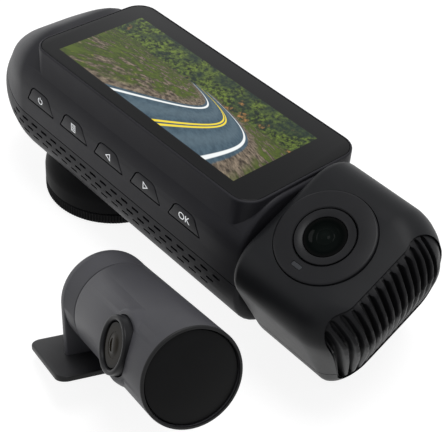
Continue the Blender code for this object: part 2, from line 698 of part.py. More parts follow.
def front_lens():
    """Barrel seated on the case, serrated ring, lens cell, glass and sensor board."""
    place = Matrix.Translation((BARREL_X, 0, 0))
    ring_top = BARREL_RIM + RING_DEPTH
    bore = FRONT_CELL_RADIUS + GAP
    web = BARREL_SHOULDER - BARREL_WEB
    inner = BARREL_RADIUS - BARREL_WALL
    curve = [(BARREL_RADIUS - inward, BARREL_SHOULDER + up) for inward, up in BARREL_SHOULDERS]
    wall = [(BARREL_RADIUS, ring_top + GAP), (inner, ring_top + GAP), (inner, web), (bore, web)]
    profile = [(bore, BARREL_TOP)] + curve + wall
    barrel = turned("front_lens_barrel", profile, place, 48)
    part(cut(barrel, body_solid("case_seat", -GAP)), (0.025, 0.025, 0.026), 0.4)

    outline = []
    for k in range(2 * RING_TEETH):
        radius = BARREL_RADIUS - (k % 2) * RING_TOOTH_DEPTH
        turn = math.pi * k / RING_TEETH
        outline.append((radius * math.cos(turn), radius * math.sin(turn)))
    ring = prism("front_lens_ring", outline, BARREL_RIM, ring_top, "Z", place)
    dish = turned("ring_dish", [
        (0, ring_top + OVER), (DISH_INNER, ring_top + OVER), (DISH_INNER, BARREL_RIM + DISH_DEPTH),
        (DISH_OUTER, BARREL_RIM), (DISH_OUTER, BARREL_RIM - OVER), (0, BARREL_RIM - OVER)], place, closed=False)
    part(cut(ring, dish), (0.03, 0.03, 0.032), 0.35)

    rim_out, rim_in = FRONT_CELL_RIM
    back = BARREL_RIM + FRONT_GLASS_SEAT
    seat = FRONT_GLASS_RADIUS + GAP
    cell = turned("front_lens_cell", [
        (FRONT_CELL_BORE, BARREL_TOP), (FRONT_CELL_RADIUS, BARREL_TOP), (FRONT_CELL_RADIUS, ring_top),
        (FRONT_CELL_HOOD, ring_top), (FRONT_CELL_HOOD, BARREL_RIM + rim_out), (seat, BARREL_RIM + rim_in),
        (seat, back), (FRONT_CELL_BORE, back)], place)
    part(cell, (0.012, 0.012, 0.013), 0.5)
    face = BARREL_RIM + FRONT_GLASS_FACE
    front = [(radius, face + up) for radius, up in FRONT_GLASS_CURVE]
    glass = turned("front_lens_glass", [(0, back - GAP), (FRONT_GLASS_RADIUS, back - GAP)] + front, place,
                   closed=False)
    part(glass, (0.02, 0.03, 0.035), 0.05)
    low = BARREL_TOP + GAP
    high = low + BOARD_THICK
    half = FRONT_BOARD_HALF
    board = blocks("front_camera_board", [((-half, -half, low), (half, half, high))], place)
    long, wide, thick = FRONT_SENSOR
    sensor = blocks("front_sensor", [((-long, -wide, low + BOARD_THICK / 2), (long, wide, high + thick))],
                    place)
    part(join(board, sensor), (0.05, 0.22, 0.12), 0.5)


def case_inside():
    """Speaker and back-up capacitors on the rear shell's floor."""
    floor = -BODY_HALF + WALL + GAP
    small, large = SPEAKER_RADII
    crown, flange = SPEAKER_HEIGHTS
    speaker = turned("speaker", [(0, floor + crown), (small, floor + crown), (small, floor + flange),
                                 (large, floor + flange), (large, floor), (0, floor)],
                     Matrix.Translation((SPEAKER_X, 0, 0)), 28, closed=False)
    part(speaker, (0.03, 0.03, 0.03), 0.6)
    radius = CAPACITOR_RADIUS
    for number, side in enumerate((-1, 1), 1):
        lying = Matrix.Translation((CAPACITOR_X, side * (radius + GAP / 2), floor + radius)) @ ALONG_X
        cell = disc(f"back_up_capacitor_{number}", radius, 0, CAPACITOR_LENGTH, lying, 16)
        part(cell, (0.08, 0.10, 0.16), 0.35)


def mount_shoe():
    """Slide-on seat with two lipped rails and its contacts."""
    long, wide, thick = SHOE_SIZE
    base = BODY_HALF + GAP
    rail_wide, rail_high = SHOE_RAIL
    top = base + thick + rail_high
    rail = wide / 2 - rail_wide
    lip = top - SHOE_LIP_THICK
    half = [(base, wide / 2), (top, wide / 2), (top, rail - SHOE_LIP), (lip, rail - SHOE_LIP), (lip, rail),
            (base + thick, rail)]
    outline = half + [(y, -z) for y, z in reversed(half)]
    part(prism("mount_shoe", outline, -long / 2, long / 2, "X"), (0.035, 0.035, 0.037), 0.5)
    low = base + thick + SEAT
    wide, deep, thick = CONTACT_SIZE
    reach = ((CONTACTS - 1) * CONTACT_PITCH + wide) / 2 + MM
    strip = blocks("shoe_contacts", [((-reach, low, -deep / 2 - MM), (reach, low + thick, deep / 2 + MM))])
    pads = []
    for k in range(CONTACTS):
        x = (k - (CONTACTS - 1) / 2) * CONTACT_PITCH
        pads.append(((x - wide / 2, low + thick / 2, -deep / 2), (x + wide / 2, low + 2 * thick, deep / 2)))
    part(join(strip, blocks("contact_pads", pads)), (0.75, 0.6, 0.3), 0.3, 1.0)


def sockets():
    """Power, rear camera and memory card sockets, each open to the outside."""
    face = BODY_HALF - GAP
    long, high = USB_SIZE
    floor = face - USB_DEPTH + SOCKET_BACK
    usb = prism("usb_socket", slot_outline(USB_X, long, high), face - USB_DEPTH, face, "Y")
    mouth = prism("usb_mouth", slot_outline(USB_X, long - 2 * SOCKET_SKIN, high - 2 * SOCKET_SKIN), floor,
                  face + OVER, "Y")
    half, flat, short = USB_TONGUE
    tongue = blocks("usb_tongue", [((USB_X - half, floor - SOCKET_BACK / 2, SOCKET_Z - flat),
                                    (USB_X + half, face - short, SOCKET_Z + flat))])
    part(join(cut(usb, mouth), tongue), (0.6, 0.6, 0.62), 0.3, 1.0)
    jack_place = Matrix.Translation((JACK_X, 0, SOCKET_Z)) @ OUT_OF_SIDE
    jack = turned("rear_camera_socket", [
        (0, floor), (JACK_BORE, floor), (JACK_BORE, face), (JACK_RADIUS, face),
        (JACK_RADIUS, face - USB_DEPTH), (0, face - USB_DEPTH)], jack_place, 20, closed=False)
    part(jack, (0.1, 0.1, 0.1), 0.4)
    long, high = CARD_SIZE
    card = blocks("card_socket", [((CARD_X - long / 2, face - CARD_DEPTH, SOCKET_Z - high / 2),
                                   (CARD_X + long / 2, face, SOCKET_Z + high / 2))])
    inside = long / 2 - SOCKET_BACK
    slit = blocks("card_slit", [((CARD_X - inside, face - CARD_DEPTH + SOCKET_BACK, SOCKET_Z - CARD_SLIT),
                                 (CARD_X + inside, face + OVER, SOCKET_Z + CARD_SLIT))])
    part(cut(card, slit), (0.6, 0.6, 0.62), 0.3, 1.0)


def slot_outline(x, long, high):
    """Socket outline with nearly round ends."""
    return rounded(x - long / 2, x + long / 2, SOCKET_Z - high / 2, SOCKET_Z + high / 2, 0.49 * high, 3)


# Cabin head

def head_shells():
    """Lens side and back side of the head, open for the grille at its end."""
    room = head_solid("head_room", WALL)
    opening = prism("grille_opening", grille_outline(GAP), GRILLE_DEEP, HEAD_END, "X", GRILLE)
    bore = disc("head_bore", HUB_RADIUS + GAP, HEAD_FLAT - OVER, HEAD_FLAT + 2 * WALL, ALONG_X, 48)
    top = HEAD_HALF - WALL / 2
    posts = rods("head_posts", HEAD_SCREWS, POST_RADIUS, HEAD_PART_LINE + GAP / 2, top, HEAD)
    pilots = rods("head_pilots", HEAD_SCREWS, SCREW_RADIUS + GAP, HEAD_PART_LINE - OVER,
                  HEAD_PART_LINE + SCREW_REACH + GAP, HEAD)
    seat = disc("cabin_seat", CABIN_RING_RADIUS + GAP, HEAD_HALF + CABIN_RISE - CABIN_RING_THICK - GAP,
                HEAD_HALF + OVER, HEAD @ Matrix.Translation((CABIN_X, 0, 0)))
    hole = disc("cabin_hole", CABIN_RING_RADIUS - 1.25 * WALL, HEAD_HALF - 3 * WALL, HEAD_HALF + OVER,
                HEAD @ Matrix.Translation((CABIN_X, 0, 0)))
    posts_limit = head_solid("head_posts_limit", WALL / 2)
    common(posts, posts_limit)

    lens_side = head_solid("head_front_shell", 0.0)
    below = blocks("head_below", [((0, -LONG, -LONG), (LONG, LONG, HEAD_PART_LINE + GAP / 2))], HEAD)
    cut(lens_side, room, below, opening, bore)
    join(lens_side, posts)
    part(cut(lens_side, pilots, seat, hole), (0.02, 0.02, 0.022), 0.42)

    bosses = rods("head_bosses", HEAD_SCREWS, POST_RADIUS, -HEAD_HALF, HEAD_PART_LINE - GAP / 2, HEAD)
    common(bosses, posts_limit)
    shafts = rods("head_shafts", HEAD_SCREWS, SCREW_RADIUS + GAP, -HEAD_HALF - OVER, HEAD_PART_LINE + OVER,
                  HEAD)
    heads = rods("head_heads", HEAD_SCREWS, SCREW_HEAD[0] + GAP, -HEAD_HALF - OVER, SCREW_SEAT, HEAD)
    back_side = head_solid("head_rear_shell", 0.0)
    above = blocks("head_above", [((0, -LONG, HEAD_PART_LINE - GAP / 2), (LONG, LONG, LONG))], HEAD)
    cut(back_side, room, above, opening, bore)
    join(back_side, bosses)
    part(cut(back_side, shafts, heads), (0.02, 0.02, 0.022), 0.42)


def head_end_grille():
    """Ribbed panel that follows the head's rounded, leaning end."""
    grille = head_solid("head_end_grille", GRILLE_RECESS)
    common(grille, prism("grille_edge", grille_outline(0), GRILLE_DEEP, HEAD_END, "X", GRILLE))
    cut(grille, head_solid("grille_back", GRILLE_RECESS + GRILLE_THICK))
    mid = sum(GRILLE_SIDES) / 2
    bars = []
    for k in range(GRILLE_GROOVES):
        y = mid + (k - (GRILLE_GROOVES - 1) / 2) * GRILLE_PITCH
        away = min(y - GRILLE_SIDES[0], GRILLE_SIDES[1] - y) - GROOVE_WIDTH / 2
        edge = GRILLE_MARGIN + corner_drop(away)
        bars.append(((2 * GRILLE_DEEP, y - GROOVE_WIDTH / 2, GRILLE_ENDS[0] + edge),
                     (HEAD_END, y + GROOVE_WIDTH / 2, GRILLE_ENDS[1] - edge)))
    grooves = blocks("grille_grooves", bars, GRILLE)
    cut(grooves, head_solid("groove_floor", GRILLE_RECESS + GROOVE_DEPTH))
    part(cut(grille, grooves), (0.018, 0.018, 0.019), 0.45)


def cabin_lens():
    """Raised ring with an indicator window, inner bezel, glass, lens cell and sensor board."""
    place = HEAD @ Matrix.Translation((CABIN_X, 0, 0))
    face = HEAD_HALF + CABIN_RISE
    low = face - CABIN_RING_THICK
    inner = CABIN_BEZEL_RADIUS + GAP
    ring = turned("cabin_lens_ring", [
        (inner, face), (CABIN_RING_RADIUS - CABIN_RING_CHAMFER, face),
        (CABIN_RING_RADIUS, face - CABIN_RING_CHAMFER), (CABIN_RING_RADIUS, low), (inner, low)], place)
    long, wide, thick = INDICATOR_SIZE
    hole = blocks("indicator_hole", [((-long / 2 - GAP, INDICATOR_Y - wide / 2 - GAP, low - OVER),
                                      (long / 2 + GAP, INDICATOR_Y + wide / 2 + GAP, face + OVER))], place)
    part(cut(ring, hole), (0.03, 0.03, 0.033), 0.35)
    window = blocks("cabin_indicator", [((-long / 2, INDICATOR_Y - wide / 2, face - thick - MM),
                                         (long / 2, INDICATOR_Y + wide / 2, face))], place)
    part(window, (0.4, 0.4, 0.42), 0.2)
    glass_seat = CABIN_GLASS_RADIUS + GAP
    shallow, deep = CABIN_GLASS_DEPTHS
    bezel = turned("cabin_lens_bezel", [(glass_seat, face - shallow / 2), (CABIN_BEZEL_RADIUS, face),
                                        (CABIN_BEZEL_RADIUS, low), (glass_seat, low)], place)
    part(bezel, (0.025, 0.025, 0.027), 0.3)
    glass = disc("cabin_lens_glass", CABIN_GLASS_RADIUS, face - deep, face - shallow, place)
    part(glass, (0.01, 0.02, 0.02), 0.05)
    top = low - GAP
    bottom = top - CABIN_CELL_LENGTH
    bore, lip, outside = CABIN_CELL_RADII
    cell = turned("cabin_lens_cell", [
        (bore, top - CABIN_CELL_DISH), (lip, top), (outside, top), (outside, bottom), (bore, bottom)], place, 28)
    part(cell, (0.012, 0.012, 0.013), 0.45)
    left, right, half = HEAD_BOARD
    high = bottom - GAP
    board = blocks("head_board", [((left, -half, high - BOARD_THICK), (right, half, high))], place)
    part(board, (0.05, 0.22, 0.12), 0.5)


def swivel():
    """Hollow hub fixed in the head, held in the case's end wall by a clip and a friction washer."""
    wall_in = BODY_RIGHT - END_WALL
    washer_in = wall_in - GAP - WASHER_THICK
    clip_in = washer_in - GAP - WASHER_THICK
    root = HUB_RADIUS - CLIP_DEPTH
    end = clip_in - MM
    flange_in = HEAD_FLAT + WALL + GAP
    flange_out = flange_in + HUB_FLANGE_THICK
    hub = turned("head_hub", [
        (HUB_BORE, flange_out), (HUB_FLANGE, flange_out), (HUB_FLANGE, flange_in), (HUB_RADIUS, flange_in),
        (HUB_RADIUS, washer_in - GAP / 2), (root, washer_in - GAP / 2), (root, clip_in - GAP / 2),
        (HUB_RADIUS, clip_in - GAP / 2), (HUB_RADIUS, end), (HUB_BORE, end)], HEAD @ ALONG_X, 48)
    part(hub, (0.06, 0.06, 0.062), 0.5)
    part(washer("friction_washer", HUB_RADIUS + GAP, WASHER_RADIUS, washer_in, wall_in - GAP, ALONG_X),
         (0.5, 0.5, 0.5), 0.4, 1.0)
    clip = washer("hub_clip", root + GAP, WASHER_RADIUS - MM, clip_in, clip_in + WASHER_THICK, HEAD @ ALONG_X)
    part(clip, (0.5, 0.5, 0.5), 0.4, 1.0)


# Rear camera

def rear_tube():
    """Tube with a boss for the lens, open at the end cap."""
    mouth = CAP_RECESS + CAP_THICK + GAP
    inner = TUBE_RADIUS - TUBE_WALL
    rim = TUBE_RADIUS - TUBE_RIM
    soft = TUBE_SOFT
    back = -TUBE_LENGTH
    tube = turned("rear_tube", [
        (rim, 0), (TUBE_RADIUS - soft, 0), (TUBE_RADIUS, -soft), (TUBE_RADIUS, back + soft / 2),
        (TUBE_RADIUS - soft / 2, back), (PIVOT_RADIUS + GAP, back), (PIVOT_RADIUS + GAP, back + TUBE_WALL),
        (inner, back + TUBE_WALL), (inner, -mouth), (rim, -mouth)], REAR @ ALONG_X)
    foot, top, high = LENS_BOSS
    boss = turned("lens_boss", [(0, high), (top, high), (foot, high - LENS_BOSS_SLOPE), (foot, LENS_BOSS_ROOT),
                                (0, LENS_BOSS_ROOT)], REAR_LENS, 36, closed=False)
    cut(boss, disc("boss_back", inner, back, 0, REAR @ ALONG_X))
    hole = disc("lens_hole_rear", LENS_RING_RADIUS + GAP, LENS_CELL_FOOT, LENS_FACE + 2 * OVER, REAR_LENS)
    part(cut(join(tube, boss), hole), (0.09, 0.09, 0.10), 0.42)
    inside = CAP_RECESS + CAP_THICK
    part(disc("rear_end_cap", rim - GAP, -inside, -CAP_RECESS, REAR @ ALONG_X), (0.012, 0.012, 0.013), 0.4)


def rear_lens():
    """Ring, glass, cell and sensor board, stacked along the lens axis."""
    face = LENS_FACE + LENS_RING_PROUD
    bore = LENS_GLASS_RADIUS + GAP
    ring = turned("rear_lens_ring", [
        (bore, face - GAP), (bore + GAP, face), (LENS_RING_RADIUS - GAP, face), (LENS_RING_RADIUS, face - GAP),
        (LENS_RING_RADIUS, LENS_RING_FOOT), (bore, LENS_RING_FOOT)], REAR_LENS)
    part(ring, (0.015, 0.015, 0.016), 0.3)
    glass = disc("rear_lens_glass", LENS_GLASS_RADIUS, LENS_FACE - MM, LENS_FACE, REAR_LENS)
    part(glass, (0.08, 0.06, 0.05), 0.05)
    top = LENS_RING_FOOT - GAP
    opening, lip, outside = LENS_CELL_RADII
    cell = turned("rear_lens_cell", [(opening, top - MM), (lip, top), (outside, top), (outside, LENS_CELL_FOOT),
                                     (opening, LENS_CELL_FOOT)], REAR_LENS, 28)
    part(cell, (0.012, 0.012, 0.013), 0.45)
    high = LENS_CELL_FOOT - GAP
    left, right, half = REAR_BOARD
    board = blocks("rear_board", [((left, -half, high - BOARD_THICK), (right, half, high))], REAR_LENS)
    part(board, (0.05, 0.22, 0.12), 0.5)


def rear_bracket():
    """Collar, arched end wall and foot in one piece, with its pad and cable socket."""
    front = -TUBE_LENGTH - GAP
    back = front - COLLAR_LENGTH
    collar = disc("rear_bracket", TUBE_RADIUS, back + FOOT_WALL / 2, front, REAR @ ALONG_X)
    arch = [(ARCH_RADIUS, -FOOT_DROP - FOOT_THICK / 2)]
    for k in range(ARCH_STEPS + 1):
        turn = math.pi * k / ARCH_STEPS
        arch.append((ARCH_RADIUS * math.cos(turn), ARCH_RADIUS * math.sin(turn)))
    arch.append((-ARCH_RADIUS, -FOOT_DROP - FOOT_THICK / 2))
    wall = prism("foot_wall", arch, back, back + FOOT_WALL, "X", REAR)
    mid = back + FOOT_WALL / 2
    foot = prism("foot_plate", foot_outline(mid, 0), -FOOT_DROP - FOOT_THICK, -FOOT_DROP, "Z", REAR)
    bore = disc("pivot_bore", PIVOT_RADIUS + RUN, front - PIVOT_REACH - GAP, front + OVER, REAR @ ALONG_X)
    part(cut(join(collar, wall, foot), bore), (0.075, 0.075, 0.085), 0.42)
    under = -FOOT_DROP - FOOT_THICK - SEAT
    pad = prism("rear_pad", foot_outline(mid, PAD_INSET), under - PAD_THICK, under, "Z", REAR)
    part(pad, (0.05, 0.05, 0.05), 0.9)
    head_in = -TUBE_LENGTH + TUBE_WALL + GAP
    pivot = turned("rear_pivot", [
        (0, head_in + MM), (2 * PIVOT_RADIUS, head_in + MM), (2 * PIVOT_RADIUS, head_in), (PIVOT_RADIUS, head_in),
        (PIVOT_RADIUS, front - PIVOT_REACH), (0, front - PIVOT_REACH)], REAR @ ALONG_X, closed=False)
    part(pivot, (0.4, 0.4, 0.42), 0.35, 1.0)
    near = back - GAP
    radius, long = CABLE_SOCKET
    bore_radius, deep = CABLE_BORE
    far = near - long
    place = REAR @ Matrix.Translation((0, 0, CABLE_RISE)) @ ALONG_X
    socket = turned("rear_cable_socket", [
        (0, near), (radius, near), (radius, far), (bore_radius, far), (bore_radius, far + deep),
        (0, far + deep)], place, 20, closed=False)
    part(socket, (0.05, 0.05, 0.05), 0.5)


def foot_outline(mid, inset):
    long, wide = FOOT_LONG / 2 - inset, FOOT_HALF - inset
    return rounded(mid - long, mid + long, -wide, wide, FOOT_RADIUS - inset, 4)


def bounds():
    """Lowest and highest corner of every piece as built."""
    graph = bpy.context.evaluated_depsgraph_get()
    points = []
    for obj in PARTS.objects:
        shape = obj.evaluated_get(graph)
        points += [shape.matrix_world @ vert.co for vert in shape.to_mesh().vertices]
        shape.to_mesh_clear()
    low = Vector([min(point[i] for point in points) for i in range(3)])
    high = Vector([max(point[i] for point in points) for i in range(3)])
    return low, high


def stand():
    """Tilt the set to its stance and bring its origin under its middle."""
    bpy.context.view_layer.update()
    tilt = Matrix.Rotation(math.radians(STANCE), 4, "Y")
    for obj in bpy.data.objects:
        obj.matrix_world = tilt @ obj.matrix_world
    bpy.context.view_layer.update()
    low, high = bounds()
    shift = Matrix.Translation((-(low.x + high.x) / 2, -(low.y + high.y) / 2, -low.z))
    for obj in bpy.data.objects:
        obj.matrix_world = shift @ obj.matrix_world
    bpy.context.view_layer.update()


def soften():
    """Smooth shading over the rounds, sharp at the edges."""
    for obj in PARTS.objects:
        obj.data.shade_smooth()
        obj.data.set_sharp_from_angle(angle=math.radians(32))


part(front_shell(), (0.055, 0.056, 0.062), 0.42)
part(rear_shell(), (0.05, 0.051, 0.056), 0.42)
screws("case_screw", SCREW_PLACES, PART_LINE, Matrix())
screen()
buttons()
front_lens()
case_inside()
mount_shoe()
sockets()
head_shells()
screws("head_screw", HEAD_SCREWS, HEAD_PART_LINE, HEAD)
head_end_grille()
cabin_lens()
swivel()
rear_tube()
rear_lens()
rear_bracket()
soften()
stand()
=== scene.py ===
"""Looks of the dash camera set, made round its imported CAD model.

The windscreen unit, its cabin head and the rear camera each have a frame of their own. A piece is
modelled about the origin of its frame, in metres, and then settled into its place on the set.
"""

import math

import bpy
from mathutils import Matrix, Vector


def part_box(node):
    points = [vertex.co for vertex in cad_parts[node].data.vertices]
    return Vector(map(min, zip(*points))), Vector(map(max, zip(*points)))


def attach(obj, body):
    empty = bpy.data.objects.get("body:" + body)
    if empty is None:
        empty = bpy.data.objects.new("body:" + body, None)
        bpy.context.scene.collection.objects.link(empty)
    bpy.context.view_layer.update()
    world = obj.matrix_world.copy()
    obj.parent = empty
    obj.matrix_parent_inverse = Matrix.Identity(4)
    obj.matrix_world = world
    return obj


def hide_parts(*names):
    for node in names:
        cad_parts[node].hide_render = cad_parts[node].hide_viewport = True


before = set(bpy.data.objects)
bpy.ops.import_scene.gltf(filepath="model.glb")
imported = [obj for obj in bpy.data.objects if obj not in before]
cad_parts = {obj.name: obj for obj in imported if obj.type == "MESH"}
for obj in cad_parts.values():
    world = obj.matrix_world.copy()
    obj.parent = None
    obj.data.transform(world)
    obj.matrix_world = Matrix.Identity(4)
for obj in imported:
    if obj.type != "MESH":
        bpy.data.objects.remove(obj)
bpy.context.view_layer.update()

MM = 0.001
GAP = 0.3 * MM
WALL = 2.0 * MM
LONG = 300 * MM
WELD = 0.001 * MM
WELL_RADIUS = 2.5 * MM
WELL_FLOOR = -19 * MM

# Windscreen unit
BODY_HALF = 22.0 * MM
BODY_TOP = 21.0 * MM
BODY_RADIUS = 14.0 * MM
BODY_RADIUS_BACK = 15.5 * MM
BODY_LEFT = -75.4 * MM
BODY_RIGHT = 48.0 * MM
LEFT_LENGTH = 27.6 * MM
LEFT_PINCH = 18.0 * MM
LEFT_LEAN = 0.63
LEFT_POWER = 1.51
RIM_RADIUS = 1.2 * MM
END_WALL = 2.4 * MM
PART_LINE = -3.0 * MM
SCREW_PLACES = ((-58.5 * MM, 0.0), (43.2 * MM, 14.6 * MM), (43.2 * MM, -14.6 * MM))
HOUSING_LEFT = -44.5 * MM
HOUSING_RIGHT = 46.9 * MM
HOUSING_HALF = 20.4 * MM
HOUSING_RADIUS = 6.0 * MM
HOUSING_TOP = 22.0 * MM
GLASS_RIM = 0.7 * MM
GLASS_THICK = 1.0 * MM
PICTURE = (74.0 * MM, 29.6 * MM)
PICTURE_MID_Y = -1.0 * MM
BUTTONS = ("button_power", "button_menu", "button_back", "button_forward", "button_ok")
BUTTON_FIRST = -38.5 * MM
BUTTON_PITCH = 16.23 * MM
BUTTON_LOW = 3.3 * MM
BUTTON_HIGH = 8.5 * MM
BUTTON_WIDE = 12.4 * MM
BUTTON_NARROW = 9.4 * MM
SLOT_PITCH = 4.85 * MM
SLOT_ROWS = (-5.2 * MM, -7.5 * MM, -9.8 * MM)
SLOT_FIRST = -52.0 * MM

# Front lens
BARREL_X = -32.6 * MM
BARREL_RADIUS = 21.0 * MM
BARREL_RIM = -30.8 * MM
RING_DEPTH = 3.6 * MM
RING_TEETH = 146

# Cabin head
HEAD_TILT = 27.5
HEAD_FLAT = 48.6 * MM
HEAD_END = 86.9 * MM
HEAD_HALF = 21.9 * MM
HEAD_RADIUS_LENS = 10.0 * MM
HEAD_RADIUS_BACK = 13.0 * MM
HEAD_LENGTH = 13.5 * MM
HEAD_PINCH = 10.0 * MM
HEAD_DROP = 2.1 * MM
HEAD_POWER = 1.65
RIDGE_Z = 11.4 * MM
RIDGE_ROUND = 1.9 * MM
SLOPE_ABOVE = 0.54
SLOPE_BELOW = 0.41
HEAD_EDGE = 3.0 * MM
HEAD_PART_LINE = -6.0 * MM
HEAD_SCREWS = ((55.0 * MM, 16.0 * MM), (55.0 * MM, -16.0 * MM))
CABIN_X = 64.0 * MM
CABIN_FACE = HEAD_HALF + 0.6 * MM
GRILLE_SIDES = (-18.9 * MM, 17.7 * MM)
GRILLE_ENDS = (-16.0 * MM, 20.6 * MM)
GRILLE_RADIUS = 7.0 * MM
GRILLE_MARGIN = 0.35 * MM
GRILLE_GROOVES = 14
GRILLE_PITCH = 2.55 * MM
GRILLE_SLANT = 0.27
GRILLE_FAN = 0.012 / MM
GRILLE_TURN = 12.0 * MM
GRILLE_GAP = 0.25 * MM
GRILLE_SINK = 0.35 * MM
GRILLE_OPENING = 13.0 * MM
GRILLE_THICK = 1.9 * MM
GROOVE_DEPTH = 2.1 * MM
GROOVE_FLOOR = 0.42 * MM
GROOVE_EDGE = 0.92 * MM
GROOVE_END = 0.9 * MM
GROOVE_REACH = 0.4 * MM

# Rear camera
TUBE_RADIUS = 12.15 * MM
TUBE_LENGTH = 43.6 * MM
LENS_FACE = 12.5 * MM
FOOT_DROP = 13.4 * MM


def tilt(degrees, axis):
    return Matrix.Rotation(math.radians(degrees), 4, axis)


def shift(x, y=0.0, z=0.0):
    return Matrix.Translation((x, y, z))


# Frames. The unit's is found from the friction washer, which is centred on the long axis.
STANCE = tilt(3.9, "Y")
low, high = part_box("friction_washer")
WASHER_MID = BODY_RIGHT - END_WALL - GAP - 0.4 * MM
UNIT = Matrix.Translation((Vector(low) + Vector(high)) / 2 - STANCE @ Vector((WASHER_MID, 0, 0))) @ STANCE
HEAD = UNIT @ tilt(HEAD_TILT, "X")
CABIN = HEAD @ shift(CABIN_X)
HEAD_TO_GRILLE = shift(HEAD_END)
BARREL = UNIT @ shift(BARREL_X)
ALONG_X = tilt(90, "Y")
TO_SIDE = tilt(90, "X")
BUTTON_SIDE = UNIT @ TO_SIDE
REAR = UNIT @ shift(73.8 * MM, -59.4 * MM, 12.2 * MM) @ tilt(-15.2, "Z") @ tilt(-22.25, "Y") @ tilt(-5.6, "X")
REAR_TO_LENS = shift(-16.4 * MM) @ tilt(72, "X")
REAR_LENS = REAR @ REAR_TO_LENS


# Camera, at the angle the set is shown from
CAMERA_LENS = 91.56
CAMERA_PLACE = Vector((192.69, -171.92, 198.43)) * MM
CAMERA_AIM = Vector((-0.541, 0.535, -0.649))
CAMERA_UP = Vector((-0.521, 0.393, 0.758))


def added(name, data):
    obj = bpy.data.objects.new(name, data)
    bpy.context.scene.collection.objects.link(obj)
    return obj


def aim_camera():
    data = bpy.data.cameras.new("camera")
    data.sensor_width = 36
    data.lens = CAMERA_LENS
    data.clip_start = 0.01
    camera = added("camera", data)
    forward = CAMERA_AIM.normalized()
    right = forward.cross(CAMERA_UP).normalized()
    turn = Matrix((right, right.cross(forward), -forward)).transposed().to_4x4()
    camera.matrix_world = UNIT @ Matrix.Translation(CAMERA_PLACE) @ turn
    bpy.context.scene.camera = camera


aim_camera()


# Shader maths

def arithmetic(operation, swapped=False):
    """A method that adds one Math node, with its two values swapped where Python hands them over so."""
    def method(self, other):
        return self.maths(operation, *((other, self) if swapped else (self, other)))
    return method


class Wire:
    """A value on its way between shader nodes. Python's arithmetic on it adds Math nodes."""

    def __init__(self, nodes, socket):
        self.nodes = nodes
        self.socket = socket

    def maths(self, operation, *values):
        return self.nodes.node("ShaderNodeMath", {"operation": operation}, values)

    __add__ = __radd__ = arithmetic("ADD")
    __sub__ = arithmetic("SUBTRACT")
    __rsub__ = arithmetic("SUBTRACT", swapped=True)
    __mul__ = __rmul__ = arithmetic("MULTIPLY")
    __truediv__ = arithmetic("DIVIDE")
    __rtruediv__ = arithmetic("DIVIDE", swapped=True)
    __pow__ = arithmetic("POWER")
    most = arithmetic("MAXIMUM")

    def __abs__(self):
        return self.maths("ABSOLUTE", self)

    def sine(self):
        return self.maths("SINE", self)

    def between(self, low, high):
        """0 below low, 1 above high, and a smooth rise in the middle."""
        return self.nodes.node("ShaderNodeMapRange", {"interpolation_type": "SMOOTHSTEP"},
                               {"Value": self, "From Min": low, "From Max": high})

    def ramp(self, *stops):
        """A colour for each (place, colour) stop."""
        return self.nodes.node("ShaderNodeValToRGB", {"stops": stops}, [self])


class Nodes:
    """The node tree of a material or a world, under construction."""

    def __init__(self, owner):
        owner.use_nodes = True
        self.tree = owner.node_tree

    def plug(self, socket, value):
        if isinstance(value, Wire):
            self.tree.links.new(value.socket, socket)
        elif value is not None:
            four = socket.type == "RGBA" and len(value) == 3
            socket.default_value = (*value, 1.0) if four else value

    def node(self, kind, settings=None, inputs=(), out=0):
        """A node of this type, with its settings made before its sockets are filled."""
        node = self.tree.nodes.new(kind)
        for key, value in (settings or {}).items():
            if key == "stops":
                steps = node.color_ramp.elements
                while len(steps) < len(value):
                    steps.new(0.5)
                for step, (position, colour) in zip(steps, value):
                    step.position = position
                    step.color = (*colour, 1.0)
            else:
                setattr(node, key, value)
        items = inputs.items() if isinstance(inputs, dict) else enumerate(inputs)
        for key, value in items:
            self.plug(node.inputs[key], value)
        return Wire(self, node.outputs[out])

    def seen(self):
        """1 for a ray from the camera, straight, mirrored or through glass, and 0 for light."""
        path = self.tree.nodes.new("ShaderNodeLightPath")
        straight, mirrored, through = (
            Wire(self, path.outputs[f"Is {kind} Ray"]) for kind in ("Camera", "Glossy", "Transmission"))
        return straight.most(mirrored).most(through)


class Finish(Nodes):
    """A material under construction."""

    def __init__(self, name, **uniform):
        self.material = bpy.data.materials.new(name)
        super().__init__(self.material)
        self.shader = self.tree.nodes["Principled BSDF"]
        self.place = self.node("ShaderNodeTexCoord", out="Object")
        self.set(**uniform)

    def set(self, **sockets):
        """Fill the surface's sockets; base_color stands for Base Color and so on."""
        for key, value in sockets.items():
            name = key.replace("_", " ").title().replace("Ior", "IOR")
            self.plug(self.shader.inputs[name], value)

    def spot(self, matrix):
        """X, Y and Z of each spot in this frame."""
        where, turn, _ = matrix.inverted().decompose()
        place = self.node("ShaderNodeMapping", {"vector_type": "POINT"},
                          {"Vector": self.place, "Location": where, "Rotation": turn.to_euler()})
        parts = self.tree.nodes.new("ShaderNodeSeparateXYZ")
        self.plug(parts.inputs[0], place)
        return [Wire(self, socket) for socket in parts.outputs]

    def off_axis(self, matrix):
        """How far each spot is from this frame's Z axis."""
        x, y, _ = self.spot(matrix)
        return (x * x + y * y) ** 0.5

    def noise(self, scale, detail=2.0, rough=0.5, place=None):
        return self.node("ShaderNodeTexNoise", None,
                         {"Vector": place or self.place, "Scale": scale, "Detail": detail, "Roughness": rough})

    def cells(self, scale):
        return self.node("ShaderNodeTexVoronoi", None, {"Vector": self.place, "Scale": scale})

    def mix(self, share, first, second):
        """first where the share is 0, second where it is 1."""
        return self.node("ShaderNodeMix", {"data_type": "RGBA"}, {0: share, 6: first, 7: second}, out=2)

    def bump(self, height, depth, strength):
        """Relief of a real depth in metres."""
        self.set(normal=self.node("ShaderNodeBump", None,
                                  {"Strength": strength, "Distance": depth, "Height": height}))


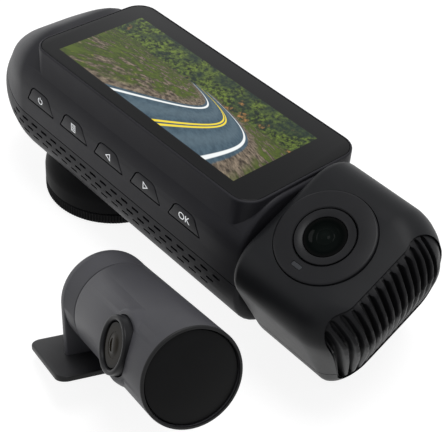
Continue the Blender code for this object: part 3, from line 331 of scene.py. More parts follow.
def grey(level, blue=0.0):
    """A neutral colour, a little blue where wanted."""
    return (level, level, level * (1 + blue))


def moulded(name, colour, roughness, grain=0.1, depth=0.012, shine=0.12):
    """Moulded plastic with a fine spark-eroded grain, faint flow clouds and handling marks."""
    finish = Finish(name)
    fine = finish.noise(1.0 / (grain * MM), 3.0, 0.6)
    pits = finish.cells(0.7 / (grain * MM))
    clouds = finish.noise(70, 4.0, 0.55)
    rubbed = finish.noise(260, 5.0, 0.65)
    tint = finish.mix(clouds.between(0.32, 0.68), [c * 0.9 for c in colour], [c * 1.1 for c in colour])
    speck = finish.mix(fine.between(0.62, 0.8) * 0.35, tint, [min(1, c * 1.5 + 0.004) for c in colour])
    finish.set(base_color=speck, roughness=roughness + (rubbed - 0.5) * 0.1 + (fine - 0.5) * 0.06,
               specular_ior_level=shine)
    finish.bump(fine * 0.6 + pits * 0.5, depth * MM, 0.5)
    return finish.material


def gloss(name, colour, roughness, shine):
    """Polished plastic with faint hairline swirls and a few dust specks."""
    finish = Finish(name)
    swirl = finish.noise(900, 6.0, 0.7)
    dust = finish.cells(2600).between(0.1, 0.02)
    tint = finish.mix(finish.noise(90).between(0.35, 0.65),
                      [c * 0.88 for c in colour], [c * 1.12 for c in colour])
    finish.set(base_color=finish.mix(dust * 0.25, tint, [c + 0.05 for c in colour]),
               roughness=roughness + (swirl - 0.5) * 0.08 + dust * 0.1, specular_ior_level=shine)
    finish.bump(swirl, 0.004 * MM, 0.3)
    return finish.material


def turned_metal(name, colour, roughness):
    """Drawn and plated metal, with fine streaks along the piece and rubbed patches."""
    finish = Finish(name, metallic=1.0)
    stretched = finish.node("ShaderNodeMapping", None, {"Vector": finish.place, "Scale": (1.0, 9.0, 1.0)})
    streaks = finish.noise(2400, 4.0, 0.6, stretched)
    rubbed = finish.noise(300, 3.0)
    tint = finish.mix(rubbed.between(0.35, 0.65), [c * 0.82 for c in colour], colour)
    finish.set(base_color=finish.mix(streaks.between(0.6, 0.75) * 0.3, tint, [c * 0.6 for c in colour]),
               roughness=roughness + (streaks - 0.5) * 0.2)
    finish.bump(streaks, 0.006 * MM, 0.4)
    return finish.material


def circuit(name):
    """Solder mask over copper traces, with pads."""
    finish = Finish(name)
    x, y, _ = finish.spot(UNIT)
    lanes = abs(((x + y * 0.5) / (1.3 * MM)).sine()).between(0.86, 0.95)
    cross = abs(((y - x * 0.2) / (1.9 * MM)).sine()).between(0.9, 0.96)
    copper = lanes.most(cross) * finish.noise(420).between(0.42, 0.5)
    pads = finish.cells(330).between(0.3, 0.24)
    board = finish.mix(copper, (0.01, 0.085, 0.045), (0.018, 0.17, 0.085))
    finish.set(base_color=finish.mix(pads * 0.8, board, (0.55, 0.5, 0.38)), metallic=pads * 0.8,
               roughness=0.42 - pads * 0.15 + finish.noise(1500) * 0.1)
    finish.bump(copper * 0.6 + pads, 0.03 * MM, 0.6)
    return finish.material


def sponge(name):
    """Closed-cell foam tape."""
    finish = Finish(name)
    bubbles = finish.cells(3200)
    finish.set(base_color=finish.mix(bubbles.between(0.1, 0.6), grey(0.012), grey(0.045)), roughness=0.92)
    finish.bump(bubbles, 0.12 * MM, 0.8)
    return finish.material


def sleeve(name):
    """Shrink sleeve of a capacitor, with a printed stripe along it."""
    finish = Finish(name)
    _, _, z = finish.spot(UNIT)
    stripe = abs(z + 16.5 * MM).between(1.1 * MM, 0.9 * MM)
    finish.set(base_color=finish.mix(stripe, (0.012, 0.02, 0.07), grey(0.35)),
               roughness=0.3 + finish.noise(900) * 0.15)
    finish.bump(finish.noise(600, 3.0), 0.03 * MM, 0.4)
    return finish.material


def coated_glass(name, matrix, radius, tint, ring_reflection, shine):
    """Dark lens glass whose colour is a painted reflection of its coating, changing from its middle to its rim.
    """
    finish = Finish(name)
    out = finish.off_axis(matrix) / radius
    # painted reflection: the coating's colours, lighter in the middle and black at the rim
    painted_reflection = out.ramp((0.0, [c * 1.5 for c in tint]), (0.45, tint), (0.8, ring_reflection), (1.0, grey(0.004)))
    haze = finish.noise(500, 3.0)
    finish.set(base_color=painted_reflection, roughness=0.05 + haze * 0.03, specular_ior_level=shine)
    return finish.material


def stepped_black(name, matrix, pitch):
    """Matt black baffle with fine threads that swallow stray light."""
    finish = Finish(name)
    thread = (finish.off_axis(matrix) / pitch * math.tau).sine()
    finish.set(base_color=finish.mix(finish.noise(700), grey(0.006), grey(0.014)),
               roughness=0.55 + thread * 0.12)
    finish.bump(thread + finish.noise(6000) * 0.3, 0.04 * MM, 0.6)
    return finish.material


def rear_moulded(name, colour, shine):
    """The rear camera's grey, with painted shade that makes the foot plate under the tube near black, and near
    black on the rim round the end cap.
    """
    finish = Finish(name)
    x, _, z = finish.spot(REAR)
    grain = finish.noise(9000, 3.0, 0.6)
    clouds = finish.noise(70, 4.0, 0.55)
    # painted shade: the foot plate, in the tube's shadow, is darkened to near black
    foot = z.between(-FOOT_DROP + 0.3 * MM, -FOOT_DROP - 0.1 * MM)
    rim = x.between(-0.55 * MM, -0.4 * MM)
    body = finish.mix(clouds.between(0.32, 0.68), [c * 0.93 for c in colour], [c * 1.07 for c in colour])
    body = finish.mix(grain.between(0.62, 0.8) * 0.35, body, [c * 1.4 for c in colour])
    finish.set(base_color=finish.mix(foot.most(rim), body, grey(0.0045, 0.1)),
               roughness=0.46 + (grain - 0.5) * 0.06, specular_ior_level=shine)
    finish.bump(grain, 0.01 * MM, 0.5)
    return finish.material


def print_white(name):
    """White symbols with a painted glow that brightens them, thin at their edges."""
    finish = Finish(name)
    worn = finish.noise(5200, 4.0, 0.7)
    thin = worn.between(0.6, 0.8) * 0.4
    # painted glow: the emission brightens the print, which is no lamp
    finish.set(base_color=finish.mix(thin, (0.88, 0.89, 0.9), (0.6, 0.61, 0.62)),
               emission_color=finish.mix(thin, (0.42, 0.43, 0.44), (0.3, 0.31, 0.32)),
               emission_strength=1.0, roughness=0.5 + worn * 0.1)
    finish.bump(worn, 0.01 * MM, 0.4)
    return finish.material


def road_view(finish):
    """A plain view down a winding country road: the colour of each spot on the screen."""
    x, y, _ = finish.spot(UNIT)
    across = x / PICTURE[0]
    up = (y - PICTURE_MID_Y) / PICTURE[1]
    below = (0.3 - up).most(0.0)
    far = 1.0 / (below + 0.055)
    ground_place = finish.node("ShaderNodeCombineXYZ", None, [across * far * 2.5, far, 0.0])
    grit = finish.noise(9.0, 6.0, 0.7, ground_place)
    tufts = finish.noise(2.6, 5.0, 0.65, ground_place)
    leaves = finish.noise(820, 7.0, 0.72)
    clumps = finish.noise(170, 4.0, 0.6)
    middle = (far * 0.62 - 0.55).sine() * 0.78 / far - 0.03
    half = 0.345 / far
    side = (across - middle) / half
    edge = abs(side + (grit - 0.5) * 0.05)
    shrubs = finish.mix(tufts.between(0.36, 0.62), (0.004, 0.013, 0.003), (0.08, 0.115, 0.014))
    shrubs = finish.mix(grit.between(0.56, 0.74) * 0.7, shrubs, (0.42, 0.42, 0.06))
    stones = finish.mix(grit.between(0.35, 0.68), (0.04, 0.03, 0.022), (0.3, 0.235, 0.17))
    bank = finish.mix((tufts + abs(side) * 0.012).between(0.44, 0.54), stones, shrubs)
    ground = finish.mix(edge.between(1.55, 1.2), bank, stones)
    tar = finish.mix(grit.between(0.3, 0.7), (0.036, 0.068, 0.098), (0.08, 0.132, 0.172))
    tar = finish.mix(abs(abs(side) - 0.45).between(0.3, 0.05) * 0.45, tar, (0.125, 0.18, 0.215))
    scene = finish.mix(edge.between(1.04, 0.99), ground, tar)
    scene = finish.mix(abs(abs(side) - 0.87).between(0.055, 0.03), scene, (0.92, 0.95, 0.95))
    scene = finish.mix(abs(abs(side) - 0.055).between(0.04, 0.022), scene, (0.95, 0.74, 0.05))
    trees = finish.mix(leaves.between(0.4, 0.62), (0.002, 0.008, 0.003), (0.15, 0.215, 0.028))
    trees = finish.mix((clumps + up * 0.35).between(0.5, 0.72) * 0.8, trees, (0.008, 0.022, 0.016))
    autumn = (clumps - up * 0.3).between(0.52, 0.62) * leaves.between(0.45, 0.6)
    trees = finish.mix(autumn, trees, (0.4, 0.19, 0.06))
    skyline = (up + (clumps - 0.5) * 0.2 + (leaves - 0.5) * 0.08).between(0.15, 0.19)
    shade = (up + clumps * 0.1).between(0.14, 0.3) * 0.55
    return finish.mix(skyline, finish.mix(shade, scene, (0.01, 0.016, 0.012)), trees)


def display(name, cover):
    """A lit picture, and round it the black print under the cover glass."""
    finish = Finish(name)
    x, y, _ = finish.spot(UNIT)
    beyond = (abs(x) - PICTURE[0] / 2).most(abs(y - PICTURE_MID_Y) - PICTURE[1] / 2)
    lit = beyond.between(0.06 * MM, -0.06 * MM)
    view = road_view(finish)
    smear = finish.noise(120, 5.0, 0.6)
    finish.set(base_color=finish.mix(lit, grey(0.006, 0.1), grey(0.004)),
               emission_color=finish.mix(lit, (0.0, 0.0, 0.0), view), emission_strength=1.0,
               roughness=cover + smear.between(0.45, 0.7) * 0.05, specular_ior_level=0.14)
    return finish.material


case_black = moulded("case_black", (0.0225, 0.0222, 0.0262), 0.44)
# The shell below the seam and the mount shoe take a darker copy of the case plastic: painted shade that makes
# the sides darker towards the bottom.
case_lower_shaded = moulded("case_lower_black", (0.0115, 0.0113, 0.014), 0.46)
head_black = moulded("head_black", (0.0118, 0.0122, 0.0136), 0.42)
# The end grille's copy of the head plastic is a little darker: painted shade on the lit end face.
rib_black_shaded = moulded("rib_black_shaded", (0.01, 0.01, 0.0112), 0.44, shine=0.1)
button_black = moulded("button_black", (0.018, 0.0178, 0.0212), 0.4, 0.08)
barrel_black = moulded("barrel_black", (0.005, 0.0051, 0.0056), 0.45, 0.12, shine=0.05)
rear_grey = rear_moulded("rear_camera_grey", (0.062, 0.0615, 0.069), 0.25)
ring_black = gloss("lens_ring_black", (0.012, 0.012, 0.0135), 0.34, 0.14)
cap_black = gloss("end_cap_black", (0.0052, 0.0053, 0.0056), 0.36, 0.09)
dark_plastic = moulded("dark_plastic", (0.02, 0.02, 0.021), 0.55, 0.14)
steel = turned_metal("steel", (0.55, 0.56, 0.58), 0.28)
contact_gold = turned_metal("contact_gold", (0.83, 0.62, 0.25), 0.24)
circuit_board = circuit("circuit_board")
capacitor_sleeve = sleeve("capacitor_sleeve")
pad_foam = sponge("pad_foam")
white_print = print_white("white_print")
indicator = gloss("indicator_window", (0.045, 0.047, 0.052), 0.3, 0.15)
screen_cover = display("cover_glass", 0.07)
screen_picture = display("display_panel", 0.3)
# The lens glasses' colours are painted reflections of their coatings.
front_glass = coated_glass("front_lens_glass", BARREL, 7.0 * MM,
                           (0.006, 0.014, 0.016), (0.014, 0.006, 0.016), 0.2)
cabin_glass = coated_glass("cabin_lens_glass", CABIN, 5.4 * MM,
                           (0.003, 0.0045, 0.004), (0.0006, 0.0016, 0.0014), 0.02)
rear_glass = coated_glass("rear_lens_glass", REAR_LENS, 5.2 * MM,
                          (0.019, 0.015, 0.0095), (0.02, 0.0165, 0.0115), 0.04)
front_baffle = stepped_black("front_lens_baffle", BARREL, 0.7 * MM)
cabin_baffle = stepped_black("cabin_lens_baffle", CABIN, 0.5 * MM)
rear_baffle = stepped_black("rear_lens_baffle", REAR_LENS, 0.5 * MM)


# Modelling

def pick(obj=None):
    """Select this object alone and make it active."""
    bpy.ops.object.select_all(action="DESELECT")
    if obj:
        obj.select_set(True)
        bpy.context.view_layer.objects.active = obj


def weld():
    bpy.ops.mesh.remove_doubles(threshold=WELD)


def leave_edit():
    """Turn every face outwards and leave edit mode."""
    bpy.ops.mesh.select_all(action="SELECT")
    bpy.ops.mesh.normals_make_consistent(inside=False)
    bpy.ops.object.mode_set(mode="OBJECT")


def named(name):
    obj = bpy.context.object
    obj.name = name
    obj.data.name = name
    return obj


def shaped(name, points):
    """Name the mesh just added, put its vertices in their places and start to edit it."""
    obj = named(name)
    for vertex, point in zip(obj.data.vertices, points):
        vertex.co = point
    bpy.ops.object.mode_set(mode="EDIT")
    bpy.ops.mesh.select_all(action="SELECT")
    return obj


def skin(name, rings, ends=True):
    """A skin over rings that have the same number of points."""
    pick()
    bpy.ops.mesh.primitive_grid_add(x_subdivisions=len(rings[0]), y_subdivisions=len(rings) - 1)
    obj = shaped(name, [point for ring in rings for point in (*ring, ring[0])])
    weld()
    if ends:
        bpy.ops.mesh.fill_holes(sides=0)
    leave_edit()
    return obj


def turned(name, profile, steps=72):
    """A profile of (radius, height) points, closed on itself, spun about Z."""
    pick()
    bpy.ops.mesh.primitive_circle_add(vertices=len(profile), fill_type="NOTHING")
    obj = shaped(name, [(radius, 0, height) for radius, height in profile])
    bpy.ops.mesh.spin(steps=steps, angle=math.tau, center=(0, 0, 0), axis=(0, 0, 1))
    bpy.ops.mesh.select_all(action="SELECT")
    weld()
    bpy.ops.mesh.delete_loose(use_faces=False)
    leave_edit()
    return obj


def select_edges(obj, wanted):
    """Enter edit mode with the edges selected whose two ends pass a test."""
    bpy.ops.object.mode_set(mode="EDIT")
    bpy.ops.mesh.select_mode(type="EDGE")
    bpy.ops.mesh.select_all(action="DESELECT")
    bpy.ops.object.mode_set(mode="OBJECT")
    points = obj.data.vertices
    for edge in obj.data.edges:
        first, second = (points[i].co for i in edge.vertices)
        edge.select = wanted(first, second)
    bpy.ops.object.mode_set(mode="EDIT")


def in_mm(points, height=0.0):
    """Profile points written in millimetres, their second number raised by a height."""
    return [(a * MM, height + b * MM) for a, b in points]


def plate(name, outline, low, high, edge_low=0.0, edge_high=0.0):
    """A flat outline drawn up from low to high, with rounded edges where wanted."""
    pick()
    bpy.ops.mesh.primitive_circle_add(vertices=len(outline), fill_type="NGON")
    obj = shaped(name, [(x, y, low) for x, y in outline])
    bpy.ops.mesh.extrude_region_move(TRANSFORM_OT_translate={"value": (0, 0, high - low)})
    leave_edit()
    for level, edge in ((low, edge_low), (high, edge_high)):
        if edge:
            select_edges(obj, lambda a, b: abs(a.z - level) < WELD and abs(b.z - level) < WELD)
            bpy.ops.mesh.bevel(offset=edge, segments=4, profile=0.5)
            leave_edit()
    return obj


def drill(radius, near, far, steps=72):
    """A round cutter about Z between two heights."""
    return turned("drill", [(0, near), (radius, near), (radius, far), (0, far)], steps)


def screw_wells(places, half):
    """Cutters for the wells over screws, in a piece's windscreen side."""
    wells = [[(x + a, y + b) for a, b in ring_round(WELL_RADIUS, 32)] for x, y in places]
    return [plate("screw_well", outline, -half - MM, WELL_FLOOR) for outline in wells]


def change(obj, kind, **settings):
    """Add a modifier and apply it."""
    pick(obj)
    step = obj.modifiers.new(kind.lower(), kind)
    for key, value in settings.items():
        setattr(step, key, value)
    bpy.ops.object.modifier_apply(modifier=step.name)


def blend_with(obj, operation, tools):
    for tool in tools:
        change(obj, "BOOLEAN", operation=operation, solver="MANIFOLD", object=tool)
        bpy.data.objects.remove(tool, do_unlink=True)
    return obj


def cut(obj, *tools):
    return blend_with(obj, "DIFFERENCE", tools)


def join(obj, *tools):
    return blend_with(obj, "UNION", tools)


def common(obj, *tools):
    return blend_with(obj, "INTERSECT", tools)


def moved(obj, matrix):
    """Put a piece in its place, in its mesh."""
    obj.matrix_world = matrix
    pick(obj)
    bpy.ops.object.transform_apply(location=True, rotation=True, scale=True)
    return obj


def one_piece(name, pieces):
    """Several loose pieces as one object."""
    pick(pieces[0])
    for piece in pieces[1:]:
        piece.select_set(True)
    if len(pieces) > 1:
        bpy.ops.object.join()
    return named(name)


def paint(obj, finish):
    obj.data.materials.clear()
    obj.data.materials.append(finish)


def settle(obj, matrix, body, finish, nodes=(), crease=35):
    """Place a finished piece on the set: its frame, its body, its finish and the nodes it stands for."""
    moved(obj, matrix)
    bpy.ops.object.shade_smooth_by_angle(angle=math.radians(crease))
    paint(obj, finish)
    if nodes:
        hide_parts(*nodes)
    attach(obj, body)


# Outlines

def ring_round(radius, steps):
    turns = [math.tau * k / steps for k in range(steps)]
    return [(radius * math.cos(turn), radius * math.sin(turn)) for turn in turns]


def rounded(low_a, high_a, low_b, high_b, radius, steps=8, sides=1):
    """Rounded rectangle, anticlockwise, with extra points along its straight sides."""
    centres = ((high_a - radius, high_b - radius), (low_a + radius, high_b - radius),
               (low_a + radius, low_b + radius), (high_a - radius, low_b + radius))
    points = []
    for number, (a, b) in enumerate(centres):
        for k in range(steps + 1):
            turn = math.radians(90 * number + 90 * k / steps)
            points.append((a + radius * math.cos(turn), b + radius * math.sin(turn)))
    filled = []
    for number, point in enumerate(points):
        after = points[(number + 1) % len(points)]
        filled.append(point)
        if number % (steps + 1) == steps:
            for k in range(1, sides):
                share = k / sides
                filled.append(tuple(p + (q - p) * share for p, q in zip(point, after)))
    return filled


def section(half, top, bottom, radius_top, radius_bottom):
    """Rounded section in Y and Z with its own radius above and below."""
    upper = rounded(-half, half, -top, top, radius_top, 10, 8)
    lower = rounded(-half, half, -bottom, bottom, radius_bottom, 10, 8)
    split = 2 * 11 + 7 + 4
    return upper[:split] + lower[split:-4] + upper[-4:]


def closing(share, power):
    return 1 - (1 - share ** power) ** (1 / power)


def body_ring(pinch):
    size = BODY_HALF - pinch
    share = size / BODY_HALF
    return section(size, BODY_TOP * share, size, BODY_RADIUS * share, BODY_RADIUS_BACK * share)


def body_form(name, inset):
    """The windscreen unit's outer form, shrunk by an inset."""
    rings = []
    steps = 22
    for k in range(steps + 1):
        share = math.sin(math.pi / 2 * (steps - k) / steps)
        x = BODY_LEFT + inset + LEFT_LENGTH * (1 - share)
        ring = body_ring(inset + LEFT_PINCH * closing(share, LEFT_POWER))
        rings.append([(x + LEFT_LEAN * z * share, y, z) for y, z in ring])
    rim = max(RIM_RADIUS - inset, 0.6 * MM)
    for k in range(7):
        turn = math.pi / 2 * k / 6
        x = BODY_RIGHT - inset - rim * (1 - math.sin(turn))
        rings.append([(x, y, z) for y, z in body_ring(inset + rim * (1 - math.cos(turn)))])
    return skin(name, rings)


def end_fall(z):
    """How far the head's end lies back from its ridge, at a height."""
    slope = SLOPE_ABOVE if z > RIDGE_Z else SLOPE_BELOW
    return math.hypot(RIDGE_ROUND, slope * (z - RIDGE_Z)) - RIDGE_ROUND


def head_form(name, inset):
    """The cabin head's outer form, shrunk by an inset. Its end closes on a line."""
    rings = []

    def ring_at(x, pinch, drop, share):
        half, height = HEAD_HALF - pinch, HEAD_HALF - drop
        scale = min(half, height) / HEAD_HALF
        ring = section(half, height, height, HEAD_RADIUS_LENS * scale, HEAD_RADIUS_BACK * scale)
        rings.append([(x - end_fall(z) * share, y, z) for y, z in ring])

    for k in range(11):
        turn = math.pi / 2 * k / 10
        edge = inset + HEAD_EDGE * (1 - math.sin(turn))
        ring_at(HEAD_FLAT + inset + HEAD_EDGE * (1 - math.cos(turn)), edge, edge, 0)
    steps = 24
    for k in range(steps + 1):
        share = math.sin(math.pi / 2 * k / steps)
        close = closing(share, HEAD_POWER)
        ring_at(HEAD_END - inset - HEAD_LENGTH * (1 - share),
                inset + HEAD_PINCH * close, inset + HEAD_DROP * close, share)
    last = rings[-1]
    for k in range(1, 7):
        inner = [(y * (1 - k / 6), z * (1 - 0.004 * k)) for _, y, z in last]
        rings.append([(HEAD_END - inset - end_fall(z), y, z) for y, z in inner])
    return skin(name, rings)


def housing(inset):
    return rounded(HOUSING_LEFT + inset, HOUSING_RIGHT - inset, -HOUSING_HALF + inset, HOUSING_HALF - inset,
                   HOUSING_RADIUS - inset)


def button_shape(grow):
    wide, narrow, high = BUTTON_WIDE / 2 + grow, BUTTON_NARROW / 2 + grow, BUTTON_HIGH + grow
    radius = 2.6 * MM + grow
    low_round = 0.5 * MM
    right = [(wide - low_round, BUTTON_LOW - grow), (wide - 0.1 * MM, BUTTON_LOW - grow + 0.15 * MM),
             (wide, BUTTON_LOW - grow + low_round)]
    for k in range(9):
        turn = math.radians(15 + 75 * k / 8)
        right.append((narrow - radius + radius * math.cos(turn), high - radius + radius * math.sin(turn)))
    return right + [(-x, z) for x, z in reversed(right)]


def block(low, high):
    """A cutter between two corners."""
    (x0, y0, z0), (x1, y1, z1) = low, high
    return plate("block", [(x0, y0), (x1, y0), (x1, y1), (x0, y1)], z0, z1)


# Windscreen unit

def button_centres():
    return [BUTTON_FIRST + BUTTON_PITCH * k for k in range(len(BUTTONS))]


def through_side(outline, near, far):
    """An outline in X and Z drawn along Y between two distances towards the button side."""
    return moved(plate("through", outline, near, far), TO_SIDE)


def case_cavity():
    return common(body_form("cavity", WALL),
                  block((-LONG, -LONG, -LONG), (BODY_RIGHT - END_WALL, LONG, LONG)))


def hub_bore():
    return moved(drill(9.1 * MM, 42 * MM, 49 * MM), ALONG_X)


def side_openings(shell):
    """Cut the sockets' openings in the side away from the buttons."""
    for x, long, high in ((-38.0 * MM, 9.0 * MM, 3.2 * MM), (31.0 * MM, 13.0 * MM, 1.9 * MM)):
        outline = rounded(x - long / 2 - GAP, x + long / 2 + GAP,
                          3 * MM - high / 2 - GAP, 3 * MM + high / 2 + GAP, high / 2)
        cut(shell, through_side(outline, -BODY_HALF - MM, -BODY_HALF + 4 * MM))
    jack = [(-27 * MM + x, 3 * MM + z) for x, z in ring_round(2.9 * MM, 32)]
    cut(shell, through_side(jack, -BODY_HALF - MM, -BODY_HALF + 4 * MM))


def front_case():
    """Screen side of the case: the body, the raised housing and every opening."""
    shell = body_form("case_front", 0.0)
    join(shell, plate("housing", housing(0), 8 * MM, HOUSING_TOP, edge_high=0.45 * MM))
    cut(shell, case_cavity(), plate("room", housing(WALL), 7 * MM, HOUSING_TOP - 2.6 * MM))
    cut(shell, plate("glass_seat", housing(GLASS_RIM - 0.12 * MM),
                     HOUSING_TOP - GLASS_THICK - GAP, HOUSING_TOP + MM))
    window = block((-40.3 * MM, PICTURE_MID_Y - 17.3 * MM, 18 * MM),
                   (40.3 * MM, PICTURE_MID_Y + 17.3 * MM, 23 * MM))
    cut(shell, window, block((-LONG, -LONG, -LONG), (LONG, LONG, PART_LINE + GAP / 2)))
    for x in button_centres():
        outline = [(x + a, b) for a, b in button_shape(0.3 * MM)]
        cut(shell, through_side(outline, BODY_HALF - 4 * MM, BODY_HALF + MM))
    side_openings(shell)
    cut(shell, hub_bore())
    settle(shell, UNIT, "main", case_black, ["front_shell"])


def air_slots():
    """Three staggered rows of slots, from one slot."""
    rows = []
    long, high = 3.0 * MM, 0.8 * MM
    for number, z in enumerate(SLOT_ROWS):
        x = SLOT_FIRST - SLOT_PITCH / 2 * number
        outline = rounded(x - long / 2, x + long / 2, z - high / 2, z + high / 2, high / 2.01, 5)
        slot = plate(f"slot_{number}", outline, BODY_HALF - 3 * MM, BODY_HALF + MM)
        change(slot, "ARRAY", count=20, use_relative_offset=False, use_constant_offset=True,
               constant_offset_displace=(SLOT_PITCH, 0, 0))
        rows.append(slot)
    return moved(one_piece("air_slots", rows), TO_SIDE)


def rear_case():
    """Windscreen side of the case, with the tongue that closes the seam."""
    shell = body_form("case_rear", 0.0)
    cut(shell, block((-LONG, -LONG, PART_LINE - GAP / 2), (LONG, LONG, LONG)))
    tongue = common(body_form("tongue", WALL / 2 + 0.1 * MM),
                    block((-LONG, -LONG, PART_LINE - MM), (LONG, LONG, PART_LINE + 1.3 * MM)))
    join(shell, tongue)
    cut(shell, case_cavity(), air_slots(), hub_bore())
    cut(shell, moved(drill(8.7 * MM, -30 * MM, -15 * MM), shift(BARREL_X)))
    cut(shell, *screw_wells(SCREW_PLACES, BODY_HALF))
    # painted shade: the lower shell wears the darker copy of the case plastic
    settle(shell, UNIT, "main", case_lower_shaded, ["rear_shell"])


def cover():
    glass = plate("cover_plate", housing(GLASS_RIM), HOUSING_TOP - GLASS_THICK, HOUSING_TOP,
                  0.1 * MM, 0.22 * MM)
    settle(glass, UNIT, "main", screen_cover, ["screen_glass"])


def key(name, x):
    """A button with rounded edges, on a flange."""
    cap = plate(name + "_cap", button_shape(0), BODY_HALF - 2.4 * MM, BODY_HALF, edge_high=0.32 * MM)
    flange = plate(name + "_flange", button_shape(0.6 * MM), BODY_HALF - 3.1 * MM, BODY_HALF - 2.31 * MM)
    join(cap, flange)
    settle(cap, BUTTON_SIDE @ shift(x), name, button_black, [name])


def stroke(name, points, width, closed=False):
    """A line of ink along a path: a thin ribbon with mitred corners."""
    count = len(points)
    left, right = [], []
    for i, point in enumerate(points):
        before = points[i - 1] if closed or i else points[i]
        after = points[(i + 1) % count] if closed or i < count - 1 else points[i]
        a, b = Vector(point) - Vector(before), Vector(after) - Vector(point)
        a = a.normalized() if a.length else b.normalized()
        b = b.normalized() if b.length else a
        mid = (a + b).normalized()
        out = Vector((-mid.y, mid.x)) * (width / 2 / max(0.4, mid.dot(a)))
        left.append(Vector(point) + out)
        right.append(Vector(point) - out)
    rings = [[(*p, 0.0), (*q, 0.0), (*q, 0.05 * MM), (*p, 0.05 * MM)] for p, q in zip(left, right)]
    if closed:
        rings.append(rings[0])
    return skin(name, rings, ends=not closed)


def arc(radius, begin, end):
    turns = [math.radians(begin + (end - begin) * k / 28) for k in range(29)]
    return [(radius * math.cos(t), radius * math.sin(t)) for t in turns]


def mark_power():
    return [stroke("power_round", arc(0.95 * MM, 125, 415), 0.27 * MM),
            stroke("power_bar", [(0, 0.35 * MM), (0, 1.25 * MM)], 0.27 * MM)]


def mark_menu():
    frame_line = in_mm([(-0.85, -1.15), (0.85, -1.15), (0.85, 1.15), (-0.85, 1.15)])
    lines = [stroke("menu_frame", frame_line, 0.25 * MM, closed=True)]
    for k in range(3):
        height = (0.55 - 0.55 * k) * MM
        lines.append(stroke(f"menu_line_{k}", [(-0.5 * MM, height), (0.5 * MM, height)], 0.25 * MM))
    return lines


def mark_arrow(way):
    tip = in_mm([(-0.75 * way, 1.05), (way, 0), (-0.75 * way, -1.05)])
    return [stroke("arrow", tip, 0.27 * MM, closed=True)]


def mark_ok():
    pick()
    bpy.ops.object.text_add()
    text = bpy.context.object
    text.data.body = "OK"
    text.data.size = 3.1 * MM
    text.data.align_x = "CENTER"
    text.data.align_y = "CENTER"
    text.data.extrude = 0.025 * MM
    bpy.ops.object.convert(target="MESH")
    return [moved(bpy.context.object, shift(0, 0, 0.025 * MM))]


def button_marks():
    """White marks: on and off, menu, back, forward and OK."""
    drawings = (mark_power, mark_menu, lambda: mark_arrow(-1), lambda: mark_arrow(1), mark_ok)
    for name, x, draw in zip(BUTTONS, button_centres(), drawings):
        ink = one_piece(name + "_mark", draw())
        place = BUTTON_SIDE @ shift(x, 5.75 * MM, BODY_HALF - 0.02 * MM)
        settle(ink, place, name, white_print)


# Front lens

def front_lens():
    """Barrel, serrated ring, hood and glass."""
    rim = BARREL_RIM + RING_DEPTH + GAP
    profile = in_mm([(8.7, -15), (15.8, -15), (17.2, -16.2), (18.4, -17.5), (19.6, -19), (20.4, -20.4),
                     (20.85, -21.7)])
    profile += [(BARREL_RADIUS, -22.8 * MM), (BARREL_RADIUS, rim + 0.2 * MM)]
    profile += in_mm([(20.8, 0), (18.6, 0)], rim) + in_mm([(18.6, -24.8), (8.7, -24.8)])
    barrel = moved(turned("lens_barrel", profile, 96), shift(BARREL_X))
    cut(barrel, body_form("seat", -0.25 * MM))
    settle(barrel, UNIT, "main", barrel_black, ["front_lens_barrel"])

    teeth = 4 * RING_TEETH
    wide, base, top = BARREL_RADIUS, BARREL_RIM, BARREL_RIM + RING_DEPTH
    rows = ((0, wide - 0.4 * MM, top), (0.6, wide, top - 0.3 * MM), (1, wide, top - 0.7 * MM),
            (1, wide, base + 0.6 * MM), (0.5, wide - 0.1 * MM, base + 0.25 * MM), (0, wide - 0.45 * MM, base),
            (0, 18.7 * MM, base), (0, 18.4 * MM, base + 0.1 * MM), (0, 10.5 * MM, base + 2.3 * MM),
            (0, 10.35 * MM, base + 2.5 * MM), (0, 10.3 * MM, top), (0, wide - 0.4 * MM, top))
    depth = (0.0, 0.12 * MM, 0.32 * MM, 0.12 * MM)
    rings = []
    for share, radius, height in rows:
        ring = []
        for k in range(teeth):
            turn = math.tau * k / teeth
            out = radius - share * depth[k % 4]
            ring.append((out * math.cos(turn), out * math.sin(turn), height))
        rings.append(ring)
    ring = skin("lens_ring", rings, ends=False)
    settle(ring, BARREL, "main", barrel_black, ["front_lens_ring"], crease=25)

    hood = turned("lens_hood", in_mm([(5.4, -15), (8.4, -15)]) + in_mm([
        (8.4, 3.6), (10, 3.6), (10, 1.9), (9.8, 1.6), (9.4, 1.6), (8.6, 2.3), (8.2, 2.3), (7.9, 2.8),
        (7.3, 2.8), (7.3, 4.4), (5.4, 4.4)], base))
    settle(hood, BARREL, "main", front_baffle, ["front_lens_cell"])
    dome = [(7.0 * MM * math.sin(t), base + 1.2 * MM + 1.9 * MM * (1 - math.cos(t))) for t in
            [math.radians(90 * k / 12) for k in range(12, -1, -1)]]
    glass = turned("front_lens", [(0, base + 4.1 * MM), (7.0 * MM, base + 4.1 * MM)] + dome)
    settle(glass, BARREL, "main", front_glass, ["front_lens_glass"])


# Mount shoe

def mount_shoe():
    base = BODY_HALF + GAP
    half = in_mm([(10, 0), (10, 4.2), (6.2, 4.2), (6.2, 3.3), (7.6, 3.3), (7.6, 2)], base)
    shoe = plate("shoe", half + [(-z, y) for z, y in reversed(half)], -19 * MM, 19 * MM)
    change(shoe, "BEVEL", width=0.22 * MM, segments=3, limit_method="ANGLE", harden_normals=False)
    # painted shade: the shoe wears the darker copy of the case plastic
    settle(shoe, UNIT @ ALONG_X, "main", case_lower_shaded, ["mount_shoe"])


# Cabin head

def grille_shape(grow):
    (left, right), (low, high) = GRILLE_SIDES, GRILLE_ENDS
    return rounded(left - grow, right + grow, low - grow, high + grow, GRILLE_RADIUS + grow, 10)


